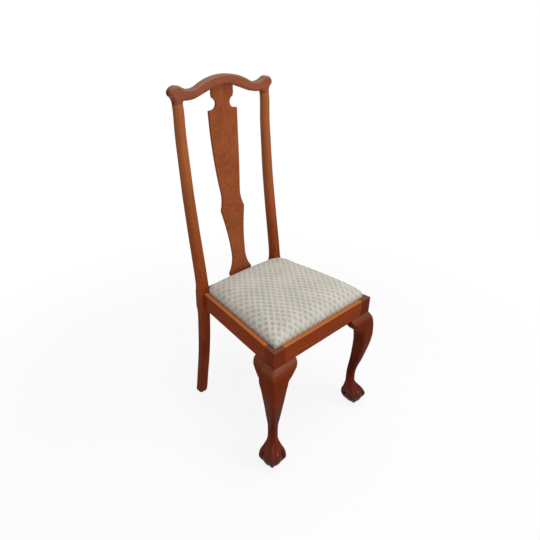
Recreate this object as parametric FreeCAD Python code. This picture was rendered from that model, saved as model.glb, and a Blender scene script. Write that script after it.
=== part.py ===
import FreeCAD, Part

import math
import os

from FreeCAD import Vector

# A high-back side chair with a serpentine crest rail, a vase-shaped splat, cabriole front legs
# on ball-and-claw feet, and a loose upholstered seat that drops into a rebate in the rails.
# Millimetres. X runs across the chair (the sitter's right is -X), Y from front to back, Z up.
# While the pieces are made, y = 0 is the outer face of the front seat rail and z = 0 the floor.

# Seat frame, over the outer faces of the rails
seat_height = 458.0
front_width = 452.0
rear_width = 354.0
seat_depth = 386.0
rail_height = 58.0
rail_thickness = 28.0
rail_edge_break = 1.2
lip_width = 16.5
rebate_depth = 14.0
tenon_thickness = 10.0
tenon_shoulder = 8.0
front_tenon_length = 22.0
rear_tenon_length = 15.0
back_rail_thickness = 24.0
back_rail_set = 4.0
back_tenon_length = 20.0

# Back posts, each in one piece with a rear leg
post_spread = 371.0
post_width = 34.0
post_depth = 36.5
post_top_width = 28.6
post_top_depth = 30.5
post_foot_width = 33.0
post_foot_depth = 34.0
post_joint_height = 1057.0
post_chamfer = 6.0
post_square_edge = 0.6
chamfer_run_out = 34.0
back_lean = 77.4
rear_foot_sweep = 35.0
rear_foot_splay = 4.5
rear_foot_round = 14.0

# Crest rail and splat
crest_rise = 71.3
crest_shoulder_drop = 25.0
crest_arch_depth = 41.5
crest_arch_end_drop = 27.0
ear_rise = 53.3
ear_reach = 199.5
ear_width = 39.0
ear_tip_drop = 13.5
ear_heel_drop = 29.0
crest_back_chamfer = 9.0
crest_cove = 7.5
splat_thickness = 8.5
splat_set = 15.0
splat_bow = 4.3
splat_head = 42.0
splat_shoulder = 56.0
splat_notch_depth = 14.0
splat_neck_height = 35.0
splat_collar_height = 20.0
splat_knop = 48.0
splat_waist = 39.0
splat_ankle = 27.3
splat_base = 48.5
splat_tongue_width = 78.0
splat_tongue_depth = 12.0
crest_slot_depth = 12.0
shoe_height = 5.0
shoe_overhang = 4.0
crest_dowel_radius = 4.8
crest_dowel_length = 44.0

# Front legs
leg_block = 45.0
knee_swell = 21.0
ankle_diameter = 32.0
ankle_height = 130.0
ankle_set = 2.6
ball_radius = 34.5
ball_height = 32.0
ball_kick = 10.8
foot_lead = 3.8
talon_radius = 6.2
talon_reach = 44.0

# Knee brackets, corner blocks and their screws
bracket_length = 47.0
bracket_drop = 56.0
bracket_thickness = 22.0
bracket_nose = 11.0
block_leg = 58.0
block_height = 30.0
block_drop = 3.0
batten_thickness = 16.0
batten_height = 22.0
screw_radius = 2.2
screw_head_radius = 4.4
screw_length = 34.0
screw_head_height = 2.6

# Loose seat
seat_clearance = 1.5
seat_back_gap = 3.0
cover_thickness = 1.2
hem_width = 33.0
frame_member_width = 52.0
frame_member_thickness = 18.0
strap_width = 50.0
strap_thickness = 1.5
hessian_thickness = 0.8
rim_width = 9.0
pad_edge = 12.0
pad_crown = 44.0
crown_fullness = 3.7
crown_bow = 4.0
pad_corner = 10.0
tack_head_radius = 3.0
tack_head_thickness = 0.8
tack_shank = 1.8
tack_length = 9.0
dust_cloth_thickness = 0.6

# Heights and places that follow from the sizes above
rail_bottom = seat_height - rail_height
ledge_height = seat_height - rebate_depth
side_slope = (front_width - rear_width) / 2 / seat_depth
side_stretch = math.hypot(1.0, side_slope)
post_outer = post_spread / 2
post_inner = post_outer - post_width
leg_inner = front_width / 2 - leg_block
leg_axis = Vector(front_width / 2 - leg_block / 2, leg_block / 2, 0)
back_rail_front = seat_depth + back_rail_set
back_rail_back = back_rail_front + back_rail_thickness
back_height = post_joint_height - seat_height


def flow(points, t):
    """A smooth value at t through rising (t, value) points, carried on in a straight line."""
    if t <= points[0][0]:
        (t0, v0), (t1, v1) = points[0], points[1]
        return v0 + (v1 - v0) / (t1 - t0) * (t - t0)
    if t >= points[-1][0]:
        (t0, v0), (t1, v1) = points[-2], points[-1]
        return v1 + (v1 - v0) / (t1 - t0) * (t - t1)
    i = max(k for k in range(len(points) - 1) if points[k][0] <= t)

    def slope(k):
        low = max(k - 1, 0)
        high = min(k + 1, len(points) - 1)
        return (points[high][1] - points[low][1]) / (points[high][0] - points[low][0])

    (t0, v0), (t1, v1) = points[i], points[i + 1]
    gap = t1 - t0
    s = (t - t0) / gap
    start = v0 + slope(i) * gap * s
    end = v1 + slope(i + 1) * gap * (s - 1)
    ease = s * s * (3 - 2 * s)
    return start * (1 - ease) + end * ease


def box(x0, x1, y0, y1, z0, z1):
    """A block between two corners."""
    return Part.makeBox(x1 - x0, y1 - y0, z1 - z0, Vector(x0, y0, z0))


def prism(points, along):
    """A flat outline pushed along a vector."""
    return Part.Face(Part.makePolygon(points + points[:1])).extrude(along)


def plan(points, z0, z1):
    """An outline in plan, given as (x, y), standing between two heights."""
    return prism([Vector(x, y, z0) for x, y in points], Vector(0, 0, z1 - z0))


def loft_flats(rings):
    """A solid through rings of as many points each, with two flat triangles from point to point,
    so that a carved or stuffed form stays light."""
    faces = []
    for low, high in zip(rings, rings[1:]):
        for i in range(len(low)):
            j = (i + 1) % len(low)
            for corners in ((low[i], low[j], high[j]), (low[i], high[j], high[i])):
                faces.append(Part.Face(Part.makePolygon([*corners, corners[0]])))
    for cap in (rings[0], rings[-1]):
        faces.append(Part.Face(Part.makePolygon(cap + cap[:1])))
    solid = Part.Solid(Part.Shell(faces))
    if solid.Volume < 0:
        solid.reverse()
    return solid


def ring(centre, along, across, radius, sides):
    """A regular polygon's points round a path, with one point towards a side."""
    along = along.normalize()
    up = along.cross(across)
    points = []
    for i in range(sides):
        turn = 2 * math.pi * i / sides
        points.append(centre + (across * math.cos(turn) + up * math.sin(turn)) * radius)
    return points


def mirrored(shape):
    """The same piece for the other side of the chair."""
    return shape.mirror(Vector(0, 0, 0), Vector(1, 0, 0))


def join(first, *others):
    """One solid from pieces of one board."""
    return first.fuse(list(others)).removeSplitter()


def group(solids):
    """Like fasteners that share one node."""
    return Part.makeCompound(solids)


def rim(y):
    """How far the outer face of a side rail stands from the centre at depth y."""
    return front_width / 2 - side_slope * y


# Back posts: their front line is straight beside the rails, sweeps back to the floor below them
# and leans back above them, most in the lower half.
sweep_line = [(0, 1.0), (0.30, 0.52), (0.63, 0.11), (0.90, 0.0), (1.0, 0.0)]
lean_line = [(0, 0), (0.05, 0.035), (0.17, 0.176), (0.40, 0.479), (0.65, 0.749), (0.90, 0.944), (1, 1)]


def rake(z):
    """How far the front of the posts stands behind its place at the seat."""
    if z <= rail_bottom:
        return rear_foot_sweep * flow(sweep_line, z / rail_bottom)
    if z <= seat_height:
        return 0.0
    return back_lean * flow(lean_line, (z - seat_height) / back_height)


def post_section(z, chamfer, inset=0.0):
    """A chamfered oblong, straight on its outer side and tapering up and down on the others."""
    up = max(0.0, (z - seat_height) / back_height)
    down = max(0.0, 1 - z / rail_bottom)
    width = post_width + (post_top_width - post_width) * up + (post_foot_width - post_width) * down
    depth = post_depth + (post_top_depth - post_depth) * up + (post_foot_depth - post_depth) * down
    outer = post_outer + rear_foot_splay * down - inset
    inner = outer - width + 2 * inset
    front = seat_depth + rake(z) + inset
    back = front + depth - 2 * inset
    c = chamfer
    b = chamfer + (crest_back_chamfer - post_chamfer) * up
    corners = [
        (inner + c, front),
        (outer - c, front),
        (outer, front + c),
        (outer, back - b),
        (outer - b, back),
        (inner + b, back),
        (inner, back - b),
        (inner, front + c),
    ]
    points = [Vector(x, y, z) for x, y in corners]
    return Part.makePolygon(points + points[:1])


def make_post():
    """The left post: lower leg, square length at the rails, and chamfered upper length."""
    square = post_square_edge
    foot_wires = []
    for height, share in ((0.0, 0.64), (0.12, 0.36), (0.42, 0.11), (1.0, 0.0)):
        chamfer = post_chamfer * (1 - share)
        foot_wires.append(post_section(rear_foot_round * height, chamfer, rear_foot_round * share))
    foot = Part.makeLoft(foot_wires, True, True)
    leg_stations = [rear_foot_round, 60, 120, 180, 250, rail_bottom - 66, rail_bottom - 30]
    leg_wires = [post_section(z, post_chamfer) for z in leg_stations]
    leg_wires.append(post_section(rail_bottom, square))
    leg = Part.makeLoft(leg_wires, True, False)
    block = Part.makeLoft(
        [post_section(rail_bottom, square), post_section(seat_height, square)], True, True
    )
    shares = [0.12, 0.20, 0.30, 0.42, 0.54, 0.66, 0.78, 0.89, 1.0]
    back_wires = [post_section(seat_height, square)]
    back_wires.append(post_section(seat_height + chamfer_run_out, post_chamfer))
    back_wires += [post_section(seat_height + back_height * s, post_chamfer) for s in shares]
    back = Part.makeLoft(back_wires, True, False)
    return join(foot, leg, block, back)


# Crest rail: a board sawn to a serpentine outline with an ear at each end, chamfered as the posts
# are, leaning with them and cut level where it stands on them.
joint = post_joint_height
inner_at_joint = post_outer - post_top_width
crest_foot = joint - 3.0


def tangent_arcs(start, heading, ends):
    """Arcs through points (x, z) on the plane y = 0, each starting as the last one ended."""
    edges = []
    x0, z0 = start
    for x1, z1 in ends:
        chord = math.atan2(z1 - z0, x1 - x0)
        half = math.remainder(chord - heading, 2 * math.pi)
        bulge = math.tan(half / 2) / 2
        middle = ((x0 + x1) / 2 + (z1 - z0) * bulge, (z0 + z1) / 2 - (x1 - x0) * bulge)
        first, last = Vector(x0, 0, z0), Vector(x1, 0, z1)
        edges.append(Part.Arc(first, Vector(middle[0], 0, middle[1]), last).toShape())
        heading += 2 * half
        x0, z0 = x1, z1
    return edges


def closed_outline(half, joins):
    """A face from the edges of its right half, their mirror images and the lines that join them."""
    other = [mirrored(edge) for edge in half]
    return Part.Face(Part.Wire(Part.__sortEdges__(half + other + joins)))


def spline(points):
    """A smooth edge through points."""
    curve = Part.BSplineCurve()
    curve.interpolate(points)
    return curve.toShape()


def crest_outline():
    """The crest rail seen from in front: arch above and below, a dip, and an ear at each end."""
    top = (0, joint + crest_rise)
    above = [
        (0.5 * ear_reach, joint + crest_rise - crest_shoulder_drop),
        (ear_reach - ear_width, joint + ear_rise - 4.8),
        (ear_reach - 1.2, joint + ear_rise - ear_tip_drop),
        (ear_reach - 4.0, joint + ear_rise - ear_heel_drop),
        (post_outer, joint),
    ]
    arch = (0, joint + crest_arch_depth)
    below = [
        (0.32 * (inner_at_joint - crest_cove), joint + crest_arch_depth - 8.0),
        (0.68 * (inner_at_joint - crest_cove), joint + crest_arch_depth - crest_arch_end_drop),
        (inner_at_joint - crest_cove, joint + crest_cove + 1.3),
        (inner_at_joint, joint + 0.8),
    ]
    half = tangent_arcs(top, 0.0, above) + tangent_arcs(arch, 0.0, below)
    foot_out = Vector(post_outer, 0, crest_foot)
    foot_in = Vector(inner_at_joint, 0, crest_foot)
    half.append(Part.makeLine(Vector(post_outer, 0, joint), foot_out))
    half.append(Part.makeLine(foot_out, foot_in))
    half.append(Part.makeLine(foot_in, Vector(inner_at_joint, 0, joint + 0.8)))
    return closed_outline(half, [])


def make_crest():
    """The whole crest rail before its splat slot and dowel holes are cut."""
    front = seat_depth + rake(joint)
    lean = math.degrees(math.atan(rake(joint + 1) - rake(joint)))
    board = crest_outline().extrude(Vector(0, post_top_depth, 0))
    for depth, chamfer in ((0.0, post_chamfer), (post_top_depth, crest_back_chamfer)):
        edges = []
        for edge in board.Edges:
            bounds = edge.BoundBox
            on_face = abs(bounds.YMin - depth) < 0.01 and bounds.YLength < 0.01
            if on_face and bounds.ZMax > crest_foot + 0.01:
                edges.append(edge)
        board = board.makeChamfer(chamfer, edges)
    board.translate(Vector(0, front, 0))
    board.rotate(Vector(0, front, joint), Vector(1, 0, 0), -lean)
    wide = 2 * ear_reach
    return board.cut(box(-wide, wide, 0, 2 * seat_depth, 0, joint))


# Splat: a thin board sawn to a vase outline and bent in a shallow double curve.
splat_foot = seat_height + shoe_height
splat_span = joint + crest_arch_depth - splat_foot


def splat_outline():
    """The splat seen from in front: foot, baluster, knop, body, and a coved neck at the crest."""

    def at(width, share):
        return (width, splat_foot + splat_span * share)

    heel = at(splat_base, 0.027)
    side = [
        at(splat_ankle, 0.128),
        at(splat_ankle + 10.3, 0.291),
        at(splat_knop - 0.5, 0.3662),
        at(splat_knop - 1.4, 0.3839),
        at(splat_waist, 0.473),
        at(splat_shoulder - 4.3, 0.691),
        at(splat_shoulder, 0.8793),
    ]
    tip = Vector(splat_shoulder, 0, side[-1][1])
    neck_low = Vector(splat_shoulder - splat_notch_depth, 0, tip.z + 1.6)
    neck_top = Vector(splat_waist, 0, neck_low.z + splat_neck_height)
    neck_waist = Vector(splat_waist - 12.5, 0, neck_low.z + splat_neck_height / 2)
    head = Vector(splat_head, 0, neck_top.z + splat_collar_height)
    top = Vector(splat_head, 0, joint + crest_arch_depth + 5)
    lip = neck_top + (head - neck_top) * 0.5 + Vector(1.2, 0, -2.0)
    foot = Vector(splat_base - 3.0, 0, splat_foot)
    half = [Part.makeLine(foot, Vector(heel[0], 0, heel[1]))]
    half += tangent_arcs(heel, math.radians(128), side)
    half += [
        Part.makeLine(tip, neck_low),
        Part.Arc(neck_low, neck_waist, neck_top).toShape(),
        Part.Arc(neck_top, lip, head).toShape(),
        Part.makeLine(head, top),
    ]
    joins = [Part.makeLine(Vector(-point.x, 0, point.z), point) for point in (foot, top)]
    return closed_outline(half, joins)


def make_splat():
    """The splat before its top is fitted to the crest rail."""
    blank = splat_outline().extrude(Vector(0, 3 * seat_depth, 0))
    top = joint + crest_arch_depth + 6
    return blank.common(bent_board(splat_shoulder + 5, splat_foot - 1, top))


def splat_front(z):
    """The front of the splat: it follows the rake of the posts and bows back behind them."""
    share = (z - splat_foot) / splat_span
    bow = splat_bow * flow([(0, 0), (0.3, 0.1), (0.65, 0.95), (0.85, 1.0), (1, 0.45)], share)
    return seat_depth + splat_set + rake(z) + bow


def bent_board(half_width, low, high):
    """A board of the splat's thickness, bent to the splat's line."""
    steps = 8
    heights = [low + (high - low) * i / steps for i in range(steps + 1)]
    front = [Vector(-half_width, splat_front(z), z) for z in heights]
    back = [point + Vector(0, splat_thickness, 0) for point in front]
    edges = [
        spline(front),
        Part.makeLine(front[-1], back[-1]),
        spline(back),
        Part.makeLine(back[0], front[0]),
    ]
    face = Part.Face(Part.Wire(Part.__sortEdges__(edges)))
    return face.extrude(Vector(2 * half_width, 0, 0))


def splat_tongues():
    """The tongues that enter the crest rail and, through the shoe, the back rail."""
    half = splat_tongue_width / 2
    top = joint + crest_arch_depth
    upper = bent_board(half, top - 0.5 * crest_arch_depth, top + crest_slot_depth)
    front = seat_depth + splat_set
    low = seat_height - splat_tongue_depth
    lower = box(-half, half, front, front + splat_thickness, low, splat_foot + 1)
    return upper, lower


def make_shoe():
    """A low moulding on the back rail, hollow in front and sloped behind, slotted for the splat."""
    front = back_rail_front - shoe_overhang
    hollow = 0.55 * shoe_height
    top_front = seat_depth + splat_set - 5.0
    top_back = seat_depth + splat_set + splat_thickness + 1.0
    points = [
        Vector(-post_inner, back_rail_back, seat_height),
        Vector(-post_inner, front, seat_height),
        Vector(-post_inner, front, seat_height + shoe_height - hollow),
        Vector(-post_inner, top_front, seat_height + shoe_height),
        Vector(-post_inner, top_back, seat_height + shoe_height),
        Vector(-post_inner, back_rail_back, seat_height + 1.0),
    ]
    chord = points[3] - points[2]
    middle = points[2] + chord * 0.5 + Vector(0, 0.35 * hollow, -0.35 * hollow)
    edges = [
        Part.makeLine(points[0], points[1]),
        Part.makeLine(points[1], points[2]),
        Part.Arc(points[2], middle, points[3]).toShape(),
        Part.makeLine(points[3], points[4]),
        Part.makeLine(points[4], points[5]),
        Part.makeLine(points[5], points[0]),
    ]
    face = Part.Face(Part.Wire(edges))
    return face.extrude(Vector(2 * post_inner, 0, 0))


# Seat rails: oblong boards with a rebate on their inner top edge that leaves a lip, tenoned into
# the leg blocks in front and the posts behind.
def tenon(x0, x1, y0, y1):
    """A tenon with shoulders above and below."""
    return box(x0, x1, y0, y1, rail_bottom + tenon_shoulder, ledge_height - tenon_shoulder / 2)


def make_front_rail():
    """The front rail between the leg blocks."""
    e = rail_edge_break
    profile = [
        (0, rail_bottom),
        (rail_thickness, rail_bottom),
        (rail_thickness, ledge_height),
        (lip_width, ledge_height),
        (lip_width, seat_height - e),
        (lip_width - e, seat_height),
        (e, seat_height),
        (0, seat_height - e),
    ]
    points = [Vector(-leg_inner, y, z) for y, z in profile]
    rail = prism(points, Vector(2 * leg_inner, 0, 0))
    front = (lip_width - tenon_thickness) / 2 + 4.0
    reach = leg_inner + front_tenon_length
    return join(rail, tenon(-reach, reach, front, front + tenon_thickness))


def make_side_rail():
    """The left rail, running in towards the back; its tenons lie straight."""
    e = rail_edge_break

    def strip(outer, inner, z0, z1):
        corners = [
            (rim(leg_block) - outer * side_stretch, leg_block),
            (rim(leg_block) - inner * side_stretch, leg_block),
            (rim(seat_depth) - inner * side_stretch, seat_depth),
            (rim(seat_depth) - outer * side_stretch, seat_depth),
        ]
        return [Vector(x, y, z0) for x, y in corners], [Vector(x, y, z1) for x, y in corners]

    low, high = strip(0, rail_thickness, rail_bottom, ledge_height)
    body = prism(low, high[0] - low[0])
    low, high = strip(0, lip_width, ledge_height, seat_height - e)
    lip = prism(low, high[0] - low[0])
    low, _ = strip(0, lip_width, seat_height - e, seat_height)
    _, high = strip(e, lip_width - e, seat_height - e, seat_height)
    cap = Part.makeLoft(
        [Part.makePolygon(low + low[:1]), Part.makePolygon(high + high[:1])], True, True
    )
    front_x = rim(leg_block) - rail_thickness / 2 - 2.0
    front_end = leg_block - front_tenon_length
    front = tenon(front_x - tenon_thickness, front_x, front_end, leg_block + 6)
    rear_x = rim(seat_depth) - 9.0
    rear_end = seat_depth + rear_tenon_length
    rear = tenon(rear_x - tenon_thickness, rear_x, seat_depth - 6, rear_end)
    return join(body, lip, cap, front, rear)


def make_back_rail():
    """The back rail between the posts, under the shoe."""
    rail = box(
        -post_inner, post_inner, back_rail_front, back_rail_back, rail_bottom, seat_height
    )
    reach = post_inner + back_tenon_length
    back = seat_depth + rear_tenon_length + 2.0
    return join(rail, tenon(-reach, reach, back, back + tenon_thickness))


# Front legs: a square block at the rails, and below it a cabriole leg sawn to one pattern on two
# faces and rounded, ending in four talons that grip a ball.
half_block = leg_block / 2
ankle_radius = ankle_diameter / 2
ankle_out = ankle_radius - ankle_set
ankle_in = -ankle_radius - ankle_set
foot_top = ball_height + ball_radius
outward = Vector(1, -1, 0) / math.sqrt(2)
sideways = Vector(1, 1, 0) / math.sqrt(2)


def on_ball(share):
    """A height given from the ball's centre, as a share of its radius."""
    return ball_height + share * ball_radius


def on_neck(share):
    """A height between the top of the ball and the ankle."""
    return foot_top + share * (ankle_height - foot_top)


def on_shank(share):
    """A height between the ankle and the rails."""
    return ankle_height + share * (rail_bottom - ankle_height)


# Patterns are (height, offset from the block's centre).
outer_pattern = [
    (ankle_height, ankle_out),
    (on_shank(0.09), ankle_out + 2.2),
    (on_shank(0.185), ankle_out + 8.1),
    (on_shank(0.29), half_block + 0.255 * knee_swell),
    (on_shank(0.405), half_block + 0.54 * knee_swell),
    (on_shank(0.51), half_block + 0.78 * knee_swell),
    (on_shank(0.615), half_block + 0.95 * knee_swell),
    (on_shank(0.705), half_block + knee_swell),
    (on_shank(0.785), half_block + 0.97 * knee_swell),
    (on_shank(0.86), half_block + 0.86 * knee_swell),
    (on_shank(0.925), half_block + 0.62 * knee_swell),
    (on_shank(0.967), half_block + 0.30 * knee_swell),
    (rail_bottom, half_block),
]
inner_pattern = [
    (ankle_height, ankle_in),
    (on_shank(0.09), ankle_in + 1.4),
    (on_shank(0.185), ankle_in + 4.0),
    (on_shank(0.29), ankle_in + 6.0),
    (on_shank(0.405), ankle_in + 6.6),
    (on_shank(0.51), ankle_in + 5.8),
    (on_shank(0.615), ankle_in + 3.8),
    (on_shank(0.705), ankle_in + 1.4),
    (on_shank(0.79), -half_block),
    (rail_bottom, -half_block),
]
# How round each corner is: (height, radius as a share of the section's width).
corner_rounding = [
    (ankle_height, 0.49),
    (on_shank(0.09), 0.46),
    (on_shank(0.29), 0.31),
    (on_shank(0.615), 0.20),
    (on_shank(0.86), 0.17),
    (rail_bottom, 0.05),
]
side_rounding = [
    (ankle_height, 0.49),
    (on_shank(0.09), 0.46),
    (on_shank(0.29), 0.32),
    (on_shank(0.615), 0.22),
    (on_shank(0.79), 0.06),
    (rail_bottom, 0.05),
]
back_rounding = [
    (ankle_height, 0.49),
    (on_shank(0.09), 0.46),
    (on_shank(0.29), 0.33),
    (on_shank(0.51), 0.42),
    (on_shank(0.615), 0.47),
    (on_shank(0.79), 0.38),
    (on_shank(0.90), 0.20),
    (rail_bottom, 0.05),
]

# Below the ankle the leg is round. Its centre line runs out to the ball, and it spreads into the
# web that holds the ball: (height, share of the way from ankle to ball) and (height, radius).
foot_line = [
    (ball_height, 1.0),
    (on_ball(0.58), 0.64),
    (on_neck(0.03), 0.42),
    (on_neck(0.33), 0.10),
    (ankle_height, 0.0),
]
web_flare = [
    (on_ball(0.58), 0.84 * ball_radius),
    (on_ball(0.83), 0.74 * ball_radius),
    (on_neck(0.05), ankle_radius + 6.0),
    (on_neck(0.20), ankle_radius + 3.2),
    (on_neck(0.39), ankle_radius + 1.3),
    (on_neck(0.72), ankle_radius + 0.2),
    (ankle_height, ankle_radius),
]
lead_line = [
    (ball_height, 1.0),
    (ankle_height, 0.65),
    (on_shank(0.29), 0.65),
    (on_shank(0.62), 0.55),
    (on_shank(0.86), 0.0),
    (rail_bottom, 0.0),
]
leg_stations = [height for height, _ in web_flare[:-1] + outer_pattern]


def lead(z):
    """The lower leg stands a little forward of the block's diagonal."""
    return sideways * (-foot_lead * flow(lead_line, max(z, ball_height)))


def foot_shift(z):
    """How far the centre line stands outside the block's centre, along X and along Y."""
    return (ball_kick + ankle_set) * flow(foot_line, min(max(z, ball_height), ankle_height)) - ankle_set


def leg_section(z):
    """A square with round corners, each in three flats."""
    if z < ankle_height:
        high = foot_shift(z) + flow(web_flare, z)
        low = foot_shift(z) - flow(web_flare, z)
    else:
        high = flow(outer_pattern, z)
        low = flow(inner_pattern, z)
    size = high - low
    middle = (high + low) / 2
    corners = [
        (high, high, corner_rounding),
        (low, high, side_rounding),
        (low, low, back_rounding),
        (high, low, side_rounding),
    ]
    points = []
    for turn, (u, v, pattern) in enumerate(corners):
        radius = size * min(0.49, flow(pattern, max(z, ankle_height)))
        centre_u = u - math.copysign(radius, u - middle)
        centre_v = v - math.copysign(radius, v - middle)
        for step in range(4):
            angle = math.pi / 2 * (turn + step / 3)
            x = centre_u + radius * math.cos(angle)
            y = -centre_v - radius * math.sin(angle)
            points.append(leg_axis + lead(z) + Vector(x, y, z))
    return points


def foot_axis(z):
    """The centre line of the foot."""
    shift = foot_shift(z)
    return leg_axis + lead(z) + Vector(shift, -shift, z)


# A talon from its claw to the ankle: (height, share of its reach, share of its thickness).
talon_path = [
    (on_ball(-0.67), 0.66, 0.45),
    (on_ball(-0.52), 0.80, 0.74),
    (on_ball(-0.35), 0.91, 0.90),
    (on_ball(-0.15), 0.975, 1.0),
    (on_ball(0.09), 0.985, 1.10),
    (on_ball(0.38), 0.88, 0.95),
    (on_ball(0.70), 0.755, 1.10),
    (on_neck(0.03), 0.59, 0.96),
    (on_neck(0.31), 0.39, 0.85),
    (on_neck(0.63), 0.28, 0.70),
]


def make_talon(direction):
    """One talon: a tapering rod from the ankle over the ball, with two knuckles and a claw."""
    reach = talon_reach - talon_radius
    across = Vector(-direction.y, direction.x, 0)
    centres = [foot_axis(z) + direction * (reach * out) for z, out, _ in talon_path]
    rings = []
    for i, (_, _, size) in enumerate(talon_path):
        before = centres[max(i - 1, 0)]
        after = centres[min(i + 1, len(centres) - 1)]
        rings.append(ring(centres[i], after - before, across, talon_radius * size, 10))
    return loft_flats(rings)


def make_ball():
    """The ball in the claw, turned in narrow flats."""
    centre = foot_axis(ball_height)
    steps = 10
    rings = []
    for i in range(steps + 1):
        lift = math.pi * (i / steps - 0.5)
        level = centre + Vector(0, 0, ball_radius * math.sin(lift))
        radius = max(ball_radius * math.cos(lift), 2.0)
        rings.append(ring(level, Vector(0, 0, 1), outward, radius, 2 * steps))
    return loft_flats(rings)


def seat_well():
    """The space inside the lips of the rails, above the rebates."""
    front, back = lip_width, back_rail_front
    half_front = rim(front) - lip_width * side_stretch
    half_back = rim(back) - lip_width * side_stretch
    corners = [(-half_front, front), (half_front, front), (half_back, back), (-half_back, back)]
    return plan(corners, ledge_height, seat_height + 1)


def make_front_leg():
    """The left front leg before its mortises are cut; its block is notched for the loose seat."""
    block = plan(
        [
            (leg_inner, 0),
            (rim(0), 0),
            (rim(leg_block), leg_block),
            (leg_inner, leg_block),
        ],
        rail_bottom,
        seat_height,
    )
    top_edges = [e for e in block.Edges if e.BoundBox.ZMin > seat_height - 0.01]
    outer_edges = [
        e for e in top_edges if e.BoundBox.XMin > leg_inner + 1 or e.BoundBox.YMax < 0.01
    ]
    block = block.makeChamfer(rail_edge_break, outer_edges)
    shank = loft_flats([leg_section(z) for z in leg_stations])
    talons = [make_talon(d) for d in (outward, sideways, -outward, -sideways)]
    leg = join(shank, make_ball(), *talons)
    under = box(0, front_width, -front_width / 2, front_width / 2, -2 * ball_radius, 0)
    leg = leg.cut(under)
    return join(block, leg).cut(seat_well())


def make_bracket():
    """A knee bracket, sawn to three profiles: it runs along +X from the knee, swells towards +Y
    as the knee does, and hangs below z = 0 in a round lobe."""
    length, drop = bracket_length, bracket_drop
    into_leg = -7.0
    swell = 0.93 * knee_swell

    def arc(start, bend, end):
        return Part.Arc(start, bend, end).toShape()

    def edges_through(*points):
        return [Part.makeLine(a, b) for a, b in zip(points, points[1:])]

    tip = Vector(length, 0, 0)
    lobe = Vector(1.03 * length, 0, -0.31 * drop)
    under = Vector(0.84 * length, 0, -0.56 * drop)
    belly = Vector(0.46 * length, 0, -0.76 * drop)
    heel = Vector(0.08 * length, 0, -drop)
    front = [arc(tip, lobe, under), arc(under, belly, heel)]
    front += edges_through(heel, Vector(into_leg, 0, -drop), Vector(into_leg, 0, 0), tip)
    front = Part.Face(Part.Wire(front)).extrude(Vector(0, bracket_thickness + swell, 0))
    front.translate(Vector(0, -bracket_thickness, 0))

    root = Vector(into_leg, 0, 0)
    bulge = Vector(into_leg, 0.54 * swell, -0.27 * drop)
    full = Vector(into_leg, swell, -0.80 * drop)
    rounded = Vector(into_leg, 0.84 * swell, -drop)
    section = [arc(root, bulge, full)]
    section += edges_through(
        full,
        rounded,
        Vector(into_leg, -bracket_thickness, -drop),
        Vector(into_leg, -bracket_thickness, 0),
        root,
    )
    section = Part.Face(Part.Wire(section)).extrude(Vector(1.1 * length - into_leg, 0, 0))

    start = Vector(into_leg, swell, -drop)
    middle = Vector(0.45 * length, 0.5 * (swell + bracket_nose) + 1.0, -drop)
    shoulder = Vector(0.86 * length, bracket_nose + 1.0, -drop)
    nose = Vector(0.99 * length, 0.62 * bracket_nose, -drop)
    end = Vector(1.04 * length, -2.0, -drop)
    fade = [arc(start, middle, shoulder), arc(shoulder, nose, end)]
    fade += edges_through(
        end,
        Vector(1.04 * length, -bracket_thickness, -drop),
        Vector(into_leg, -bracket_thickness, -drop),
        start,
    )
    fade = Part.Face(Part.Wire(fade)).extrude(Vector(0, 0, drop))
    return front.common(section).common(fade)


def largest(shape):
    """The main solid where a cut leaves crumbs."""
    return max(shape.Solids, key=lambda solid: solid.Volume)


# Corner blocks: three-cornered blocks glued and screwed into the corners of the rails, a little
# below the rebate. The front ones are notched round the leg blocks.
block_top = ledge_height - block_drop
block_bottom = block_top - block_height
batten_front = back_rail_front - batten_thickness


def inner_side(y):
    """The inner face of the left side rail at depth y."""
    return rim(y) - rail_thickness * side_stretch


def make_front_block():
    """The left front corner block."""
    corners = [
        (leg_inner - block_leg, rail_thickness),
        (leg_inner, rail_thickness),
        (leg_inner, leg_block),
        (inner_side(leg_block), leg_block),
        (inner_side(leg_block + block_leg), leg_block + block_leg),
    ]
    return plan(corners, block_bottom, block_top)


def make_rear_block():
    """The left rear corner block, against the batten."""
    start = batten_front - block_leg
    corners = [
        (inner_side(start), start),
        (inner_side(batten_front), batten_front),
        (inner_side(batten_front) - block_leg, batten_front),
    ]
    return plan(corners, block_bottom, block_top)


def make_screw(seat, direction):
    """A round-head wood screw, in eight flats, driven through a seat on a block's face."""
    across = Vector(0, 0, 1)
    top = seat - direction * screw_head_height
    end = seat + direction * screw_length
    head = [ring(point, direction, across, screw_head_radius, 8) for point in (top, seat)]
    shank = [ring(point, direction, across, screw_radius, 8) for point in (seat, end)]
    return join(loft_flats(head), loft_flats(shank))


def block_screws():
    """Two screws through each left corner block, one into each rail."""
    middle = (block_top + block_bottom) / 2
    reach = 0.42 * block_leg
    into_side = Vector(1, side_slope, 0) / side_stretch
    front_depth = leg_block + reach
    rear_depth = batten_front - reach
    sunk = screw_length - 12.0
    places = [
        (Vector(leg_inner - reach, rail_thickness + sunk, middle), Vector(0, -1, 0)),
        (Vector(inner_side(front_depth), front_depth, middle) - into_side * sunk, into_side),
        (Vector(inner_side(rear_depth), rear_depth, middle) - into_side * sunk, into_side),
        (Vector(inner_side(batten_front) - reach, batten_front - sunk, middle), Vector(0, 1, 0)),
    ]
    return places


def make_batten():
    """The batten glued and screwed to the back rail, level with the rebates."""
    corners = [
        (-inner_side(batten_front), batten_front),
        (inner_side(batten_front), batten_front),
        (inner_side(seat_depth), seat_depth),
        (post_inner, seat_depth),
        (post_inner, back_rail_front),
        (-post_inner, back_rail_front),
        (-post_inner, seat_depth),
        (-inner_side(seat_depth), seat_depth),
    ]
    return plan(corners, ledge_height - batten_height, ledge_height)


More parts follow.
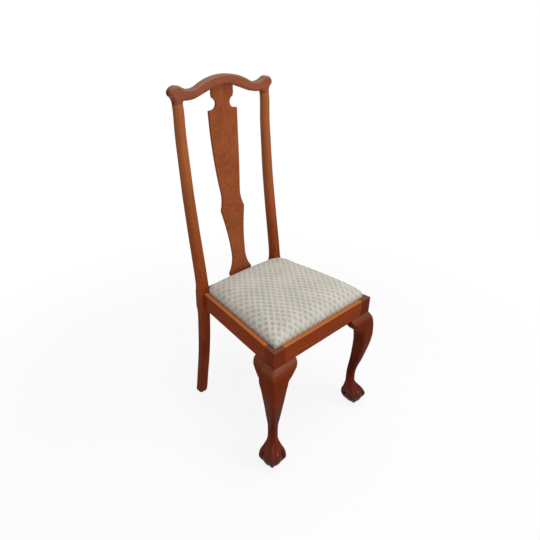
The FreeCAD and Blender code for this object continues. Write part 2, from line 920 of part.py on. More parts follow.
# Loose seat: a halved wooden frame, woven webbing, hessian, a stuffed pad and a cover turned
# under the frame. It stands on the rebates with a small clearance all round.
def seat_outline(inset):
    """Corners of the loose seat in plan, drawn in from its outer faces: front left first."""
    off = lip_width + seat_clearance + inset
    front = off
    back = seat_depth - seat_back_gap - inset
    return [
        (rim(front) - off * side_stretch, front),
        (rim(back) - off * side_stretch, back),
    ]


def seat_ring(inset, z, scale, corner, bow=0.0):
    """The seat's outline at a height, drawn in or scaled about its middle. Its corners are round,
    in four flats, and its sides can bow out."""
    (xf, yf), (xb, yb) = seat_outline(inset)
    middle = (yf + yb) / 2
    plan_corners = [(xf, yf), (xb, yb), (-xb, yb), (-xf, yf)]
    corners = [Vector(x * scale, middle + (y - middle) * scale, z) for x, y in plan_corners]
    points = []
    for i, corner_point in enumerate(corners):
        before = (corners[i - 1] - corner_point).normalize()
        after = (corners[(i + 1) % 4] - corner_point).normalize()
        half_angle = before.getAngle(after) / 2
        start = corner_point + before * (corner / math.tan(half_angle))
        centre = corner_point + (before + after).normalize() * (corner / math.sin(half_angle))
        turn = 2 * (math.pi / 2 - half_angle)
        spin = 1 if before.cross(after).z < 0 else -1
        for step in range(5):
            angle = math.degrees(spin * turn * step / 4)
            turned = FreeCAD.Rotation(Vector(0, 0, 1), angle).multVec(start - centre)
            points.append(centre + turned)
        following = corners[(i + 1) % 4]
        outwards = (corner_point + following) * 0.5 - Vector(0, middle, z)
        points.append((corner_point + following) * 0.5 + outwards.normalize() * bow)
    return points


def seat_sheet(inset, z, corner, thickness):
    """A flat sheet of the seat's outline."""
    low = seat_ring(inset, z, 1.0, corner)
    return prism(low, Vector(0, 0, thickness))


seat_bottom = ledge_height
frame_bottom = seat_bottom + cover_thickness
frame_top = frame_bottom + frame_member_thickness
hessian_top = frame_top + 2 * strap_thickness + hessian_thickness
ledge_reach = rail_thickness - lip_width - seat_clearance
tack_inset = ledge_reach + tack_head_radius + 0.5
dust_cloth_inset = leg_block - lip_width - seat_clearance - 3.0
crown_levels = (0.0, 0.22, 0.40, 0.55, 0.68, 0.79, 0.88, 0.94, 0.98)


def seat_envelope(skin):
    """The outside of the seat less a skin: a straight band, then the crowned top."""
    band_top = seat_height + pad_edge
    floor = seat_bottom + skin
    band = seat_sheet(skin, floor, pad_corner, band_top - floor)
    (half, front), (_, back) = seat_outline(skin)
    small = min(half, (back - front) / 2)
    rings = []
    for share in crown_levels:
        level = share**crown_fullness
        scale = (1 - level) ** 0.4
        rounding = 0.07 + 0.78 * math.sqrt(level)
        height = band_top + (pad_crown - skin) * share
        corner = max(pad_corner, rounding * scale * small)
        rings.append(seat_ring(skin, height, scale, corner, crown_bow * share))
    return join(band, loft_flats(rings))


def make_frame_members():
    """Four members halved over each other at the corners, front and back ones on top."""
    (xf, yf), (xb, yb) = seat_outline(cover_thickness)
    w = frame_member_width
    slope = (xf - xb) / (yb - yf)
    stretch = math.hypot(1.0, slope)
    middle = (frame_bottom + frame_top) / 2

    def edge(y):
        return xf - slope * (y - yf)

    def cross(y0, y1, z0, z1):
        return plan([(-edge(y0), y0), (edge(y0), y0), (edge(y1), y1), (-edge(y1), y1)], z0, z1)

    def rail(y0, y1, z0, z1):
        inner0 = edge(y0) - w * stretch
        inner1 = edge(y1) - w * stretch
        return plan([(edge(y0), y0), (edge(y1), y1), (inner1, y1), (inner0, y0)], z0, z1)

    side = rail(yf, yb, frame_bottom, frame_top)
    front = cross(yf, yf + w, frame_bottom, frame_top)
    back = cross(yb - w, yb, frame_bottom, frame_top)
    top_half = cross(yf, yf + w, middle, frame_top)
    top_half_back = cross(yb - w, yb, middle, frame_top)
    side = side.cut(top_half).cut(top_half_back)
    other = mirrored(side)
    front = front.cut(side).cut(other)
    back = back.cut(side).cut(other)
    return front, back, side, other


def strap_heights(count, spacing, first, half_length, flip):
    """A strap's lower line: flat on the frame, over or under each strap that it crosses."""
    flat = strap_width / 2 + 6.0
    line = [(-half_length, 0.0)]
    for i in range(count):
        centre = first + spacing * i
        lift = strap_thickness if (i + flip) % 2 else 0.0
        line.append((centre - flat, lift))
        line.append((centre + flat, lift))
    line.append((half_length, 0.0))
    return line


def make_straps():
    """Three straps each way, woven over and under one another."""
    (xf, yf), (xb, yb) = seat_outline(cover_thickness)
    front = yf + rim_width + 3
    back = yb - rim_width - 3
    middle = (front + back) / 2
    cross_spacing = 0.27 * (yb - yf)
    long_spacing = 0.26 * (xf + xb)
    cross_places = [middle + cross_spacing * k for k in (-1, 0, 1)]
    long_places = [long_spacing * k for k in (-1, 0, 1)]
    lengthwise = []
    crosswise = []
    for k, x in enumerate(long_places):
        line = strap_heights(3, cross_spacing, -cross_spacing, (back - front) / 2, k)
        low = [Vector(x - strap_width / 2, middle + y, frame_top + z) for y, z in line]
        high = [point + Vector(0, 0, strap_thickness) for point in reversed(low)]
        lengthwise.append(prism(low + high, Vector(strap_width, 0, 0)))
    for k, y in enumerate(cross_places):
        edge = xf - (xf - xb) / (yb - yf) * (y + strap_width / 2 - yf) - rim_width - 3
        line = strap_heights(3, long_spacing, -long_spacing, edge, k + 1)
        low = [Vector(x, y - strap_width / 2, frame_top + z) for x, z in line]
        high = [point + Vector(0, 0, strap_thickness) for point in reversed(low)]
        crosswise.append(prism(low + high, Vector(0, strap_width, 0)))
    return lengthwise, crosswise


def make_tack(x, y):
    """A cut tack driven up through the hem: a flat round head and a square shank."""
    points = []
    for i in range(8):
        turn = 2 * math.pi * (i + 0.5) / 8
        points.append((x + tack_head_radius * math.cos(turn), y + tack_head_radius * math.sin(turn)))
    head = plan(points, seat_bottom - tack_head_thickness, seat_bottom)
    half = tack_shank / 2
    shank = box(x - half, x + half, y - half, y + half, seat_bottom, seat_bottom + tack_length)
    return head.fuse(shank).removeSplitter()


def tack_places():
    """Tacks along all four edges of the frame, a little in from the hem's outer edge."""
    (xf, yf), (xb, yb) = seat_outline(tack_inset)
    places = []
    for y, half, count in ((yf, xf, 6), (yb, xb, 5)):
        for i in range(count):
            share = (i + 0.5) / count * 2 - 1
            places.append((share * (half - 12), y))
    for side in (1, -1):
        for i in range(5):
            share = (i + 1) / 6
            places.append((side * (xf + (xb - xf) * share), yf + (yb - yf) * share))
    return places


# The pieces, fitted to one another: each cut takes the shape of the piece that enters it.
post = make_post()
crest = make_crest()
splat = make_splat()
shoe = make_shoe()
upper_tongue, lower_tongue = splat_tongues()
front_rail = make_front_rail()
side_rail = make_side_rail()
back_rail = make_back_rail()
front_leg = make_front_leg()
batten = make_batten()
front_block = make_front_block()
rear_block = make_rear_block()

splat = largest(splat.cut(crest))
upper_tongue = upper_tongue.common(crest)
crest = crest.cut(upper_tongue)
shoe = shoe.cut(lower_tongue)
back_rail = back_rail.cut(lower_tongue)
splat = join(splat, upper_tongue, lower_tongue)

post = post.cut(side_rail).cut(back_rail)
front_leg = front_leg.cut(side_rail).cut(front_rail)

dowel_x = post_outer - post_top_width / 2
dowel_y = seat_depth + rake(joint) + post_top_depth / 2
dowel_base = Vector(dowel_x, dowel_y, joint - crest_dowel_length / 2)
dowel = Part.makeCylinder(crest_dowel_radius, crest_dowel_length, dowel_base)
post = post.cut(dowel)
crest = crest.cut(dowel).cut(mirrored(dowel))

front_bracket = make_bracket()
front_bracket.rotate(Vector(0, 0, 0), Vector(0, 0, 1), 180)
front_bracket.translate(Vector(leg_inner, 0, rail_bottom))
side_bracket = make_bracket().mirror(Vector(0, 0, 0), Vector(0, 1, 0))
side_bracket.rotate(Vector(0, 0, 0), Vector(0, 0, 1), 90 + math.degrees(math.atan(side_slope)))
side_bracket.translate(Vector(rim(leg_block), leg_block, rail_bottom))
front_bracket = largest(front_bracket.cut(front_leg))
side_bracket = largest(side_bracket.cut(front_leg))

screws = [make_screw(head, direction) for head, direction in block_screws()]
for screw in screws:
    front_block = front_block.cut(screw)
    rear_block = rear_block.cut(screw)
    side_rail = side_rail.cut(screw)
right_screws = [mirrored(screw) for screw in screws]
for screw in screws + right_screws:
    front_rail = front_rail.cut(screw)
    batten = batten.cut(screw)

batten_level = ledge_height - batten_height / 2
batten_screws = []
for x in (-0.5 * post_inner, 0.0, 0.5 * post_inner):
    head = Vector(x, batten_front, batten_level)
    batten_screws.append(make_screw(head, Vector(0, 1, 0)))
for screw in batten_screws:
    batten = batten.cut(screw)
    back_rail = back_rail.cut(screw)

frame_front, frame_back, frame_left, frame_right = make_frame_members()
lengthwise, crosswise = make_straps()
(hx, hy), (kx, ky) = seat_outline(cover_thickness + rim_width)
hessian = plan(
    [(-hx, hy), (hx, hy), (kx, ky), (-kx, ky)], hessian_top - hessian_thickness, hessian_top
)
recess = plan([(-hx, hy), (hx, hy), (kx, ky), (-kx, ky)], frame_top - 1, hessian_top)
wide = front_width
below_frame = box(-wide, wide, -wide, 2 * wide, 0, frame_top)
inner = seat_envelope(cover_thickness)
outer = seat_envelope(0.0)
pad = inner.cut(below_frame).cut(recess)
members = [member.common(inner) for member in (frame_front, frame_back, frame_left, frame_right)]
hole = seat_sheet(hem_width, seat_bottom - 1, 4.0, cover_thickness + 2)
cover = outer.cut(inner).cut(hole)
tacks = [make_tack(x, y) for x, y in tack_places()]
cover = cover.cut(group(tacks))
members = [member.cut(group(tacks)) for member in members]
dust_cloth = seat_sheet(
    dust_cloth_inset, seat_bottom - dust_cloth_thickness, 4.0, dust_cloth_thickness
)

pieces = {
    "crest_rail": crest,
    "left_back_post": post,
    "right_back_post": mirrored(post),
    "back_splat": splat,
    "splat_shoe": shoe,
    "back_seat_rail": back_rail,
    "front_seat_rail": front_rail,
    "left_side_rail": side_rail,
    "right_side_rail": mirrored(side_rail),
    "left_front_leg": front_leg,
    "right_front_leg": mirrored(front_leg),
    "left_front_knee_bracket": front_bracket,
    "right_front_knee_bracket": mirrored(front_bracket),
    "left_side_knee_bracket": side_bracket,
    "right_side_knee_bracket": mirrored(side_bracket),
    "left_front_corner_block": front_block,
    "right_front_corner_block": mirrored(front_block),
    "left_rear_corner_block": rear_block,
    "right_rear_corner_block": mirrored(rear_block),
    "corner_block_screws": group(screws + right_screws),
    "back_seat_batten": batten,
    "batten_screws": group(batten_screws),
    "crest_dowels": group([dowel, mirrored(dowel)]),
    "seat_frame_front": members[0],
    "seat_frame_back": members[1],
    "seat_frame_left": members[2],
    "seat_frame_right": members[3],
    "seat_webbing_lengthwise": group(lengthwise),
    "seat_webbing_crosswise": group(crosswise),
    "seat_hessian": hessian,
    "seat_pad": pad,
    "seat_cover": cover,
    "cover_tacks": group(tacks),
    "dust_cloth": dust_cloth,
}

# The part's own origin is on the floor under the middle of its box.
reach_front = front_leg.optimalBoundingBox().YMin
reach_back = max(crest.optimalBoundingBox().YMax, post.optimalBoundingBox().YMax)
to_origin = Vector(0, -(reach_front + reach_back) / 2, 0)

os.makedirs("parts", exist_ok=True)
for name, shape in pieces.items():
    shape = shape.copy()
    shape.translate(to_origin)
    shape.exportStep(f"parts/{name}.step")
    box_of = shape.BoundBox
    print(
        f"{name}: {len(shape.Solids)} solid(s), valid {shape.isValid()}, "
        f"volume {shape.Volume / 1000:.1f} cm3, "
        f"x {box_of.XMin:.1f} to {box_of.XMax:.1f}, y {box_of.YMin:.1f} to {box_of.YMax:.1f}, "
        f"z {box_of.ZMin:.1f} to {box_of.ZMax:.1f}"
    )
print(f"moved by {to_origin.y:.2f} in y")
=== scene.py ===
import math

import bmesh
import bpy
from mathutils import Matrix, Vector


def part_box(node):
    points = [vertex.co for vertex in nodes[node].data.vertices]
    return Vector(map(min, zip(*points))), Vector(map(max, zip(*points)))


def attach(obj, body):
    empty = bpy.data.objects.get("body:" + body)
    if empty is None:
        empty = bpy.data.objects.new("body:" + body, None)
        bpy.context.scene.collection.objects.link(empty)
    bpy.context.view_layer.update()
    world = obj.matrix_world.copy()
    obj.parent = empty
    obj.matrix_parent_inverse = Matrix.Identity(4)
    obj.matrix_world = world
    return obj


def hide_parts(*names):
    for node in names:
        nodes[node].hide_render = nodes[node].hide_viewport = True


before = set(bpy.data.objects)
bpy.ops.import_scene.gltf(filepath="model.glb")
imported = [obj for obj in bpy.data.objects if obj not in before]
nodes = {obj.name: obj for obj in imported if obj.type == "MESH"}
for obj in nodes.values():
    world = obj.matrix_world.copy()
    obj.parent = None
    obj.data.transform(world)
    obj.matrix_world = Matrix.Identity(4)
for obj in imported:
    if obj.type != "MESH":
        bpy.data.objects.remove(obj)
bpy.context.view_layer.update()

mm = 0.001


# Back posts. Each is one length of straight-grained hardwood, sawn to a curve from the rear foot
# to the crest rail and chamfered on its four corners. Like the rest of the frame it is stained
# red-brown, filled and polished, so the polish and the timber under it are mixed here.
class Value:
    """A node's output. Sums written with it add their own Math nodes."""

    def __init__(self, tree, socket):
        self.tree = tree
        self.socket = socket

    def math(self, operation, first, second=0.0):
        return self.tree.node("ShaderNodeMath", {"operation": operation}, {0: first, 1: second})

    def __add__(self, other):
        return self.math("ADD", self, other)

    def __radd__(self, other):
        return self.math("ADD", other, self)

    def __sub__(self, other):
        return self.math("SUBTRACT", self, other)

    def __rsub__(self, other):
        return self.math("SUBTRACT", other, self)

    def __mul__(self, other):
        return self.math("MULTIPLY", self, other)

    def __rmul__(self, other):
        return self.math("MULTIPLY", other, self)

    def __truediv__(self, other):
        return self.math("DIVIDE", self, other)

    def __abs__(self):
        return self.math("ABSOLUTE", self)

    def sine(self):
        return self.math("SINE", self)

    def fraction(self):
        return self.math("FRACT", self)

    def larger(self, other):
        return self.math("MAXIMUM", self, other)

    def between(self, low, high):
        """0 up to low, 1 from high, and a smooth step between them."""
        return self.tree.node(
            "ShaderNodeMapRange", {"interpolation_type": "SMOOTHSTEP"}, {0: self, 1: low, 2: high}
        )

    def beside(self, key):
        """Another output of the same node."""
        return Value(self.tree, self.socket.node.outputs[key])


class Tree:
    """A node tree while it is put together."""

    def __init__(self, tree):
        self.nodes = tree.nodes
        self.links = tree.links

    def put(self, socket, value):
        """Links a value to a socket, or sets the socket where the value is constant."""
        if isinstance(value, Value):
            self.links.new(value.socket, socket)
        else:
            socket.default_value = value

    def node(self, kind, settings, sockets, output=0):
        """Adds a node: its settings first, then a value or a link for each socket named."""
        made = self.nodes.new(kind)
        for name, value in settings.items():
            setattr(made, name, value)
        for key, value in sockets.items():
            self.put(made.inputs[key], value)
        return Value(self, made.outputs[output])

    def mix(self, first, second, share):
        """The first colour where share is 0 and the second where it is 1."""
        return self.node("ShaderNodeMix", {"data_type": "RGBA"}, {0: share, 6: first, 7: second}, 2)

    def dot(self, first, second):
        """How far the first vector reaches along the second."""
        return self.node(
            "ShaderNodeVectorMath", {"operation": "DOT_PRODUCT"}, {0: first, 1: second}, 1
        )

    def noise(self, place, scale, detail):
        """An even noise over a place."""
        settings = {"Vector": place, "Scale": scale, "Detail": detail}
        return self.node("ShaderNodeTexNoise", {}, settings)


class Finish(Tree):
    """A material while it is mixed: its nodes, and the surface that they end in."""

    def __init__(self, name):
        self.material = bpy.data.materials.new(name)
        self.material.use_nodes = True
        super().__init__(self.material.node_tree)
        self.surface = self.nodes["Principled BSDF"]
        self.place = self.node("ShaderNodeTexCoord", {}, {}, "Object")

    def coat(self, **sockets):
        """Sets the surface's sockets by name, with _ for a space."""
        for name, value in sockets.items():
            self.put(self.surface.inputs[name.replace("_", " ")], value)

    def rough(self, height, depth):
        """Raises the surface by height times depth, in metres."""
        sockets = {"Strength": 1.0, "Distance": depth, "Height": height}
        self.put(self.surface.inputs["Normal"], self.node("ShaderNodeBump", {}, sockets))


def colour(red, green, blue):
    """A colour from its bytes."""
    shares = [c / 255 for c in (red, green, blue)]
    return (*[c / 12.92 if c <= 0.04045 else ((c + 0.055) / 1.055) ** 2.4 for c in shares], 1.0)


def timber(finish, grain, layers, thickness, wander):
    """Three patterns of sawn wood: growth layers, fibre and pores. Grain and layers are
    directions, along the fibre and across the layers; wander is how far a layer strays."""

    def drawn_out(across, along, detail):
        """A noise with marks of one width across the grain and one length along it."""
        scale = [1 / (across + (along - across) * abs(g)) for g in grain]
        stretch = {"operation": "MULTIPLY"}
        at = finish.node("ShaderNodeVectorMath", stretch, {0: finish.place, 1: scale})
        settings = {"Vector": at, "Scale": 1.0, "Detail": detail, "Roughness": 0.55}
        return finish.node("ShaderNodeTexNoise", {}, settings)

    depth = finish.dot(finish.place, layers)
    stray = drawn_out(45 * mm, 420 * mm, 2.0)
    ring = ((depth + (stray - 0.5) * wander) * (2 * math.pi / thickness)).sine() * 0.5 + 0.5
    fibre = drawn_out(1.3 * mm, 45 * mm, 4.0)
    pores = drawn_out(0.5 * mm, 9 * mm, 2.0).between(0.60, 0.72)
    return ring, fibre, pores


def polished_wood(
    name, grain, layers, deep, bright, thickness=7 * mm, wander=30 * mm, figure=0.3, relief=0.03 * mm
):
    """Stained and polished hardwood with open pores. Returns the finish and its stain."""
    wood = Finish(name)
    ring, fibre, pores = timber(wood, grain, layers, thickness, wander)
    patch = wood.noise(wood.place, 9.0, 3.0)
    tone = 0.5 + (ring - 0.5) * figure + (fibre - 0.5) * 0.9 + (patch - 0.5) * 0.9
    stain = wood.mix(colour(*deep), colour(*bright), tone)
    stain = wood.mix(stain, colour(*[0.55 * c for c in deep]), pores * 0.35)
    wood.coat(
        Base_Color=stain,
        Roughness=0.42 + 0.12 * fibre + 0.10 * patch,
        Specular_IOR_Level=0.02,
        Specular_Tint=colour(255, 190, 130),
        Coat_Weight=0.04,
        Coat_Roughness=0.14,
    )
    wood.rough(fibre * 0.25 - pores, relief)
    return wood, stain


def facing(finish, direction, low, high):
    """1 where the surface faces a direction and 0 where it turns away from it."""
    normal = finish.node("ShaderNodeNewGeometry", {}, {}, "Normal")
    return finish.dot(normal, direction).between(low, high)


# Every face is shaded smooth, and the weighted normals after it keep the flat ones flat.
smooth_faces = bpy.data.node_groups.new("smooth_faces", "GeometryNodeTree")
for way in ("INPUT", "OUTPUT"):
    smooth_faces.interface.new_socket("Geometry", in_out=way, socket_type="NodeSocketGeometry")
faces_in = smooth_faces.nodes.new("NodeGroupInput")
faces_shade = smooth_faces.nodes.new("GeometryNodeSetShadeSmooth")
faces_out = smooth_faces.nodes.new("NodeGroupOutput")
smooth_faces.links.new(faces_in.outputs[0], faces_shade.inputs["Geometry"])
smooth_faces.links.new(faces_shade.outputs[0], faces_out.inputs[0])
weld_gap = 0.005 * mm


def ease_edges(piece, width):
    """Rounds a piece's sharp edges by width, as sanding does, and shades it evenly."""
    weld = piece.modifiers.new("weld", "WELD")
    weld.merge_threshold = weld_gap
    shade = piece.modifiers.new("shade", "NODES")
    shade.node_group = smooth_faces
    bevel = piece.modifiers.new("ease", "BEVEL")
    bevel.width = width
    bevel.segments = 2
    bevel.limit_method = "ANGLE"
    bevel.angle_limit = math.radians(25)
    bevel.use_clamp_overlap = True
    even = piece.modifiers.new("even", "WEIGHTED_NORMAL")
    even.weight = 50


def dress(name, material, edge):
    """Gives a piece from the workshop its eased edges and its finish."""
    piece = nodes[name]
    piece.data.materials.clear()
    piece.data.materials.append(material)
    ease_edges(piece, edge)


upright = (0, 0, 1)
post_stains = {"left": ((100, 34, 12), (146, 66, 26)), "right": ((106, 38, 13), (154, 73, 29))}
for side, (deep, bright) in post_stains.items():
    post_wood, stain = polished_wood(
        f"{side}_post_wood", upright, (0.6, 0.8, 0), deep, bright, wander=14 * mm
    )
    # The posts are painted paler towards the top, as painted light from above, and darker towards the
    # feet, as painted shade.
    height = post_wood.dot(post_wood.place, upright)
    painted_low_shade = 1 - height.between(0.20, 0.50)
    stain = post_wood.mix(stain, colour(88, 26, 10), painted_low_shade * 0.6)
    painted_top_light = height.between(0.35, 1.05)
    post_wood.coat(Base_Color=post_wood.mix(stain, colour(176, 112, 68), painted_top_light * 0.5))
    dress(f"{side}_back_post", post_wood.material, 0.9 * mm)


# Crest rail. A board sawn to a serpentine with an ear at each end, chamfered to run on from the
# posts, and doweled to them. Its back edge is well rounded by hand and by use.
crosswise = (1, 0, 0)
crest_wood, stain = polished_wood(
    "crest_wood", crosswise, (0, 0.5, 0.86), (112, 56, 38), (156, 92, 66), wander=20 * mm, figure=0.12
)
# Its upward faces are painted greyer and paler: partly dust and wear, partly painted sheen of the
# light from above. Its ends are painted darker: partly dark end grain, partly painted shade.
dust_and_sheen = crest_wood.mix(stain, colour(134, 104, 88), facing(crest_wood, upright, 0.25, 0.8) * 0.6)
end_grain = facing(crest_wood, crosswise, 0.6, 0.95) + facing(crest_wood, (-1, 0, 0), 0.6, 0.95)
crest_wood.coat(Base_Color=crest_wood.mix(dust_and_sheen, colour(78, 50, 44), end_grain * 0.8))
dress("crest_rail", crest_wood.material, 0.5 * mm)


# Splat and shoe. The splat is a thin flat-sawn board, cut to a vase and bent a little. It slides
# into the crest rail above and, through the low shoe, into the back rail below.
splat_wood, _ = polished_wood(
    "splat_wood", upright, (0, 1, 0), (116, 54, 28), (160, 89, 52), thickness=4 * mm, wander=60 * mm
)
dress("back_splat", splat_wood.material, 0.9 * mm)
shoe_wood, _ = polished_wood("shoe_wood", crosswise, (0, 0.3, 0.95), (116, 52, 26), (150, 78, 40))
dress("splat_shoe", shoe_wood.material, 0.8 * mm)


# Seat rails. Square-edged boards, rebated on the inside for the loose seat and tenoned into legs
# and posts. The tops of their lips are painted lighter: partly wear from hands and sunlight, partly
# painted light from above.
lengthwise = (0, 1, 0)


def rail_wood(name, grain, layers, deep, bright):
    """The rails' wood, with its lips painted lighter: partly wear, partly painted light from above."""
    wood, stain = polished_wood(name, grain, layers, deep, bright)
    # Upward faces are painted lighter: partly wear, partly painted light from above.
    worn = wood.mix(stain, colour(186, 113, 62), facing(wood, upright, 0.6, 0.95) * 0.8)
    wood.coat(Base_Color=worn)
    return wood.material


cross_rail_wood = rail_wood("cross_rail_wood", crosswise, (0, 0.9, 0.45), (108, 39, 10), (140, 60, 20))
side_rail_wood = rail_wood("side_rail_wood", lengthwise, (0.9, 0, 0.45), (110, 38, 8), (144, 58, 16))
for name in ("front_seat_rail", "back_seat_rail"):
    dress(name, cross_rail_wood, 0.7 * mm)
for name in ("left_side_rail", "right_side_rail"):
    dress(name, side_rail_wood, 0.7 * mm)


# Front legs and knee brackets. Each cabriole leg is carved from one squared length: its block
# stays sharp, the knee swells out below it, the shank thins to a round ankle, and four talons
# grip a ball. The brackets are glued on before the knee is carved, and are carved with it.
# Lengths in this section and in the stuffed seat's are in millimetres where mm isn't beside them.
front_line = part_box("front_seat_rail")[0].y
block_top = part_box("left_front_leg")[1].z / mm
rail_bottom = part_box("left_side_rail")[0].z / mm
block_side = 45.0
half_block = block_side / 2
front_width = 452.0
outer_face = front_width / 2
leg_axis = Vector((outer_face - half_block, front_line / mm + half_block, 0))
knee_swell = 21.0
ankle_height = 130.0
ankle_radius = 16.0
ankle_back = 2.6
ankle_out = ankle_radius - ankle_back
ankle_in = -ankle_radius - ankle_back
fullest_round = 0.49
ball_radius = 34.5
ball_height = 32.0
foot_top = ball_height + ball_radius
foot_kick = 10.8
foot_lead = 3.8
talon_radius = 6.2
talon_reach = 44.0
outward = Vector((1, -1, 0)).normalized()
sideways = Vector((1, 1, 0)).normalized()


def flow(points, t):
    """A smooth value at t through rising (t, value) points, carried on in a straight line."""
    if t <= points[0][0]:
        (t0, v0), (t1, v1) = points[0], points[1]
        return v0 + (v1 - v0) / (t1 - t0) * (t - t0)
    if t >= points[-1][0]:
        (t0, v0), (t1, v1) = points[-2], points[-1]
        return v1 + (v1 - v0) / (t1 - t0) * (t - t1)
    i = max(k for k in range(len(points) - 1) if points[k][0] <= t)

    def slope(k):
        low, high = max(k - 1, 0), min(k + 1, len(points) - 1)
        return (points[high][1] - points[low][1]) / (points[high][0] - points[low][0])

    (t0, v0), (t1, v1) = points[i], points[i + 1]
    gap = t1 - t0
    s = (t - t0) / gap
    start = v0 + slope(i) * gap * s
    end = v1 + slope(i + 1) * gap * (s - 1)
    ease = s * s * (3 - 2 * s)
    return start * (1 - ease) + end * ease


def evenly(low, high, steps):
    """Heights from low to high in even steps."""
    return [low + (high - low) * i / steps for i in range(steps + 1)]


def on_ball(share):
    """A height above the ball's middle, as a share of its radius."""
    return ball_height + share * ball_radius


def on_neck(share):
    """A height between the ball's top and the ankle."""
    return foot_top + share * (ankle_height - foot_top)


def on_shank(share):
    """A height between the ankle and the rails."""
    return ankle_height + share * (rail_bottom - ankle_height)


# Patterns are (height, offset from the block's centre).
outer_pattern = [
    (ankle_height, ankle_out),
    (on_shank(0.09), ankle_out + 2.2),
    (on_shank(0.185), ankle_out + 8.1),
    (on_shank(0.29), half_block + 0.255 * knee_swell),
    (on_shank(0.405), half_block + 0.54 * knee_swell),
    (on_shank(0.51), half_block + 0.78 * knee_swell),
    (on_shank(0.615), half_block + 0.95 * knee_swell),
    (on_shank(0.705), half_block + knee_swell),
    (on_shank(0.785), half_block + 0.97 * knee_swell),
    (on_shank(0.86), half_block + 0.86 * knee_swell),
    (on_shank(0.925), half_block + 0.62 * knee_swell),
    (on_shank(0.967), half_block + 0.30 * knee_swell),
    (rail_bottom, half_block),
]
inner_pattern = [
    (ankle_height, ankle_in),
    (on_shank(0.09), ankle_in + 1.4),
    (on_shank(0.185), ankle_in + 4.0),
    (on_shank(0.29), ankle_in + 6.0),
    (on_shank(0.405), ankle_in + 6.6),
    (on_shank(0.51), ankle_in + 5.8),
    (on_shank(0.615), ankle_in + 3.8),
    (on_shank(0.705), ankle_in + 1.4),
    (on_shank(0.79), -half_block),
    (rail_bottom, -half_block),
]
# How round each corner is: (height, radius as a share of the section's width).
corner_rounding = [
    (ankle_height, fullest_round),
    (on_shank(0.09), 0.46),
    (on_shank(0.29), 0.31),
    (on_shank(0.615), 0.20),
    (on_shank(0.86), 0.17),
    (rail_bottom, 0.05),
]
side_rounding = [
    (ankle_height, fullest_round),
    (on_shank(0.09), 0.46),
    (on_shank(0.29), 0.32),
    (on_shank(0.615), 0.22),
    (on_shank(0.79), 0.06),
    (rail_bottom, 0.05),
]
back_rounding = [
    (ankle_height, fullest_round),
    (on_shank(0.09), 0.46),
    (on_shank(0.29), 0.33),
    (on_shank(0.51), 0.42),
    (on_shank(0.615), 0.47),
    (on_shank(0.79), 0.38),
    (on_shank(0.90), 0.20),
    (rail_bottom, 0.05),
]
# How far the foot is kicked out along its diagonal: (height, share of the whole kick).
foot_line = [
    (ball_height, 1.0),
    (on_ball(0.58), 0.64),
    (on_neck(0.03), 0.42),
    (on_neck(0.33), 0.10),
    (ankle_height, 0.0),
]
# How far the leg leans to its side: (height, share of the whole lean).
lead_line = [
    (ball_height, 1.0),
    (ankle_height, 0.65),
    (on_shank(0.29), 0.65),
    (on_shank(0.62), 0.55),
    (on_shank(0.86), 0.0),
    (rail_bottom, 0.0),
]
# How the neck spreads over the ball: (height, radius).
web_flare = [
    (on_ball(0.20), 1.01 * ball_radius),
    (on_ball(0.45), 0.98 * ball_radius),
    (on_ball(0.62), 0.90 * ball_radius),
    (on_ball(0.83), 0.775 * ball_radius),
    (on_neck(0.05), ankle_radius + 6.6),
    (on_neck(0.20), ankle_radius + 3.2),
    (on_neck(0.39), ankle_radius + 1.3),
    (on_neck(0.72), ankle_radius + 0.2),
    (ankle_height, ankle_radius),
]


def foot_axis(z):
    """The middle of the leg below the ankle, out to the ball."""
    kick = flow(foot_line, min(max(z, ball_height), ankle_height))
    shift = (foot_kick + ankle_back) * kick - ankle_back
    lead = sideways * (-foot_lead * flow(lead_line, max(z, ball_height)))
    return leg_axis + lead + Vector((shift, -shift, z))


def shank_ring(z):
    """A square with round corners, drawn to the two patterns."""
    high = flow(outer_pattern, z)
    low = flow(inner_pattern, z)
    size = high - low
    middle = (high + low) / 2
    lead = sideways * (-foot_lead * flow(lead_line, z))
    corners = [
        (high, high, corner_rounding),
        (low, high, side_rounding),
        (low, low, back_rounding),
        (high, low, side_rounding),
    ]
    points = []
    steps = 12
    for turn, (u, v, pattern) in enumerate(corners):
        radius = size * min(fullest_round, flow(pattern, z))
        centre_u = u - math.copysign(radius, u - middle)
        centre_v = v - math.copysign(radius, v - middle)
        for step in range(steps + 1):
            angle = math.pi / 2 * (turn + step / steps)
            x = centre_u + radius * math.cos(angle)
            y = -centre_v - radius * math.sin(angle)
            points.append(leg_axis + lead + Vector((x, y, z)))
    return points


def round_ring(centre, radii):
    """A level ring round the foot, with a radius for each of its points."""
    points = []
    for step, radius in enumerate(radii):
        turn = 2 * math.pi * step / len(radii)
        points.append(centre + (outward * math.cos(turn) + sideways * math.sin(turn)) * radius)
    return points


def web_ring(z):
    """The round neck, spreading into the web. Its lower part is drawn in between the talons."""
    steps = 52
    drawn_in = 0.62 * max(0.0, on_ball(0.9) - z) / ball_radius
    between = [abs(math.sin(4 * math.pi * step / steps)) for step in range(steps)]
    radius = flow(web_flare, z)
    return round_ring(foot_axis(z), [radius * (1 - drawn_in * share) for share in between])


def mesh_from(shape, name):
    """A new mesh from worked geometry."""
    mesh = bpy.data.meshes.new(name)
    shape.to_mesh(mesh)
    shape.free()
    return mesh


def worked(*meshes):
    """Geometry to work on, from one mesh or from several together."""
    shape = bmesh.new()
    for mesh in meshes:
        shape.from_mesh(mesh)
    return shape


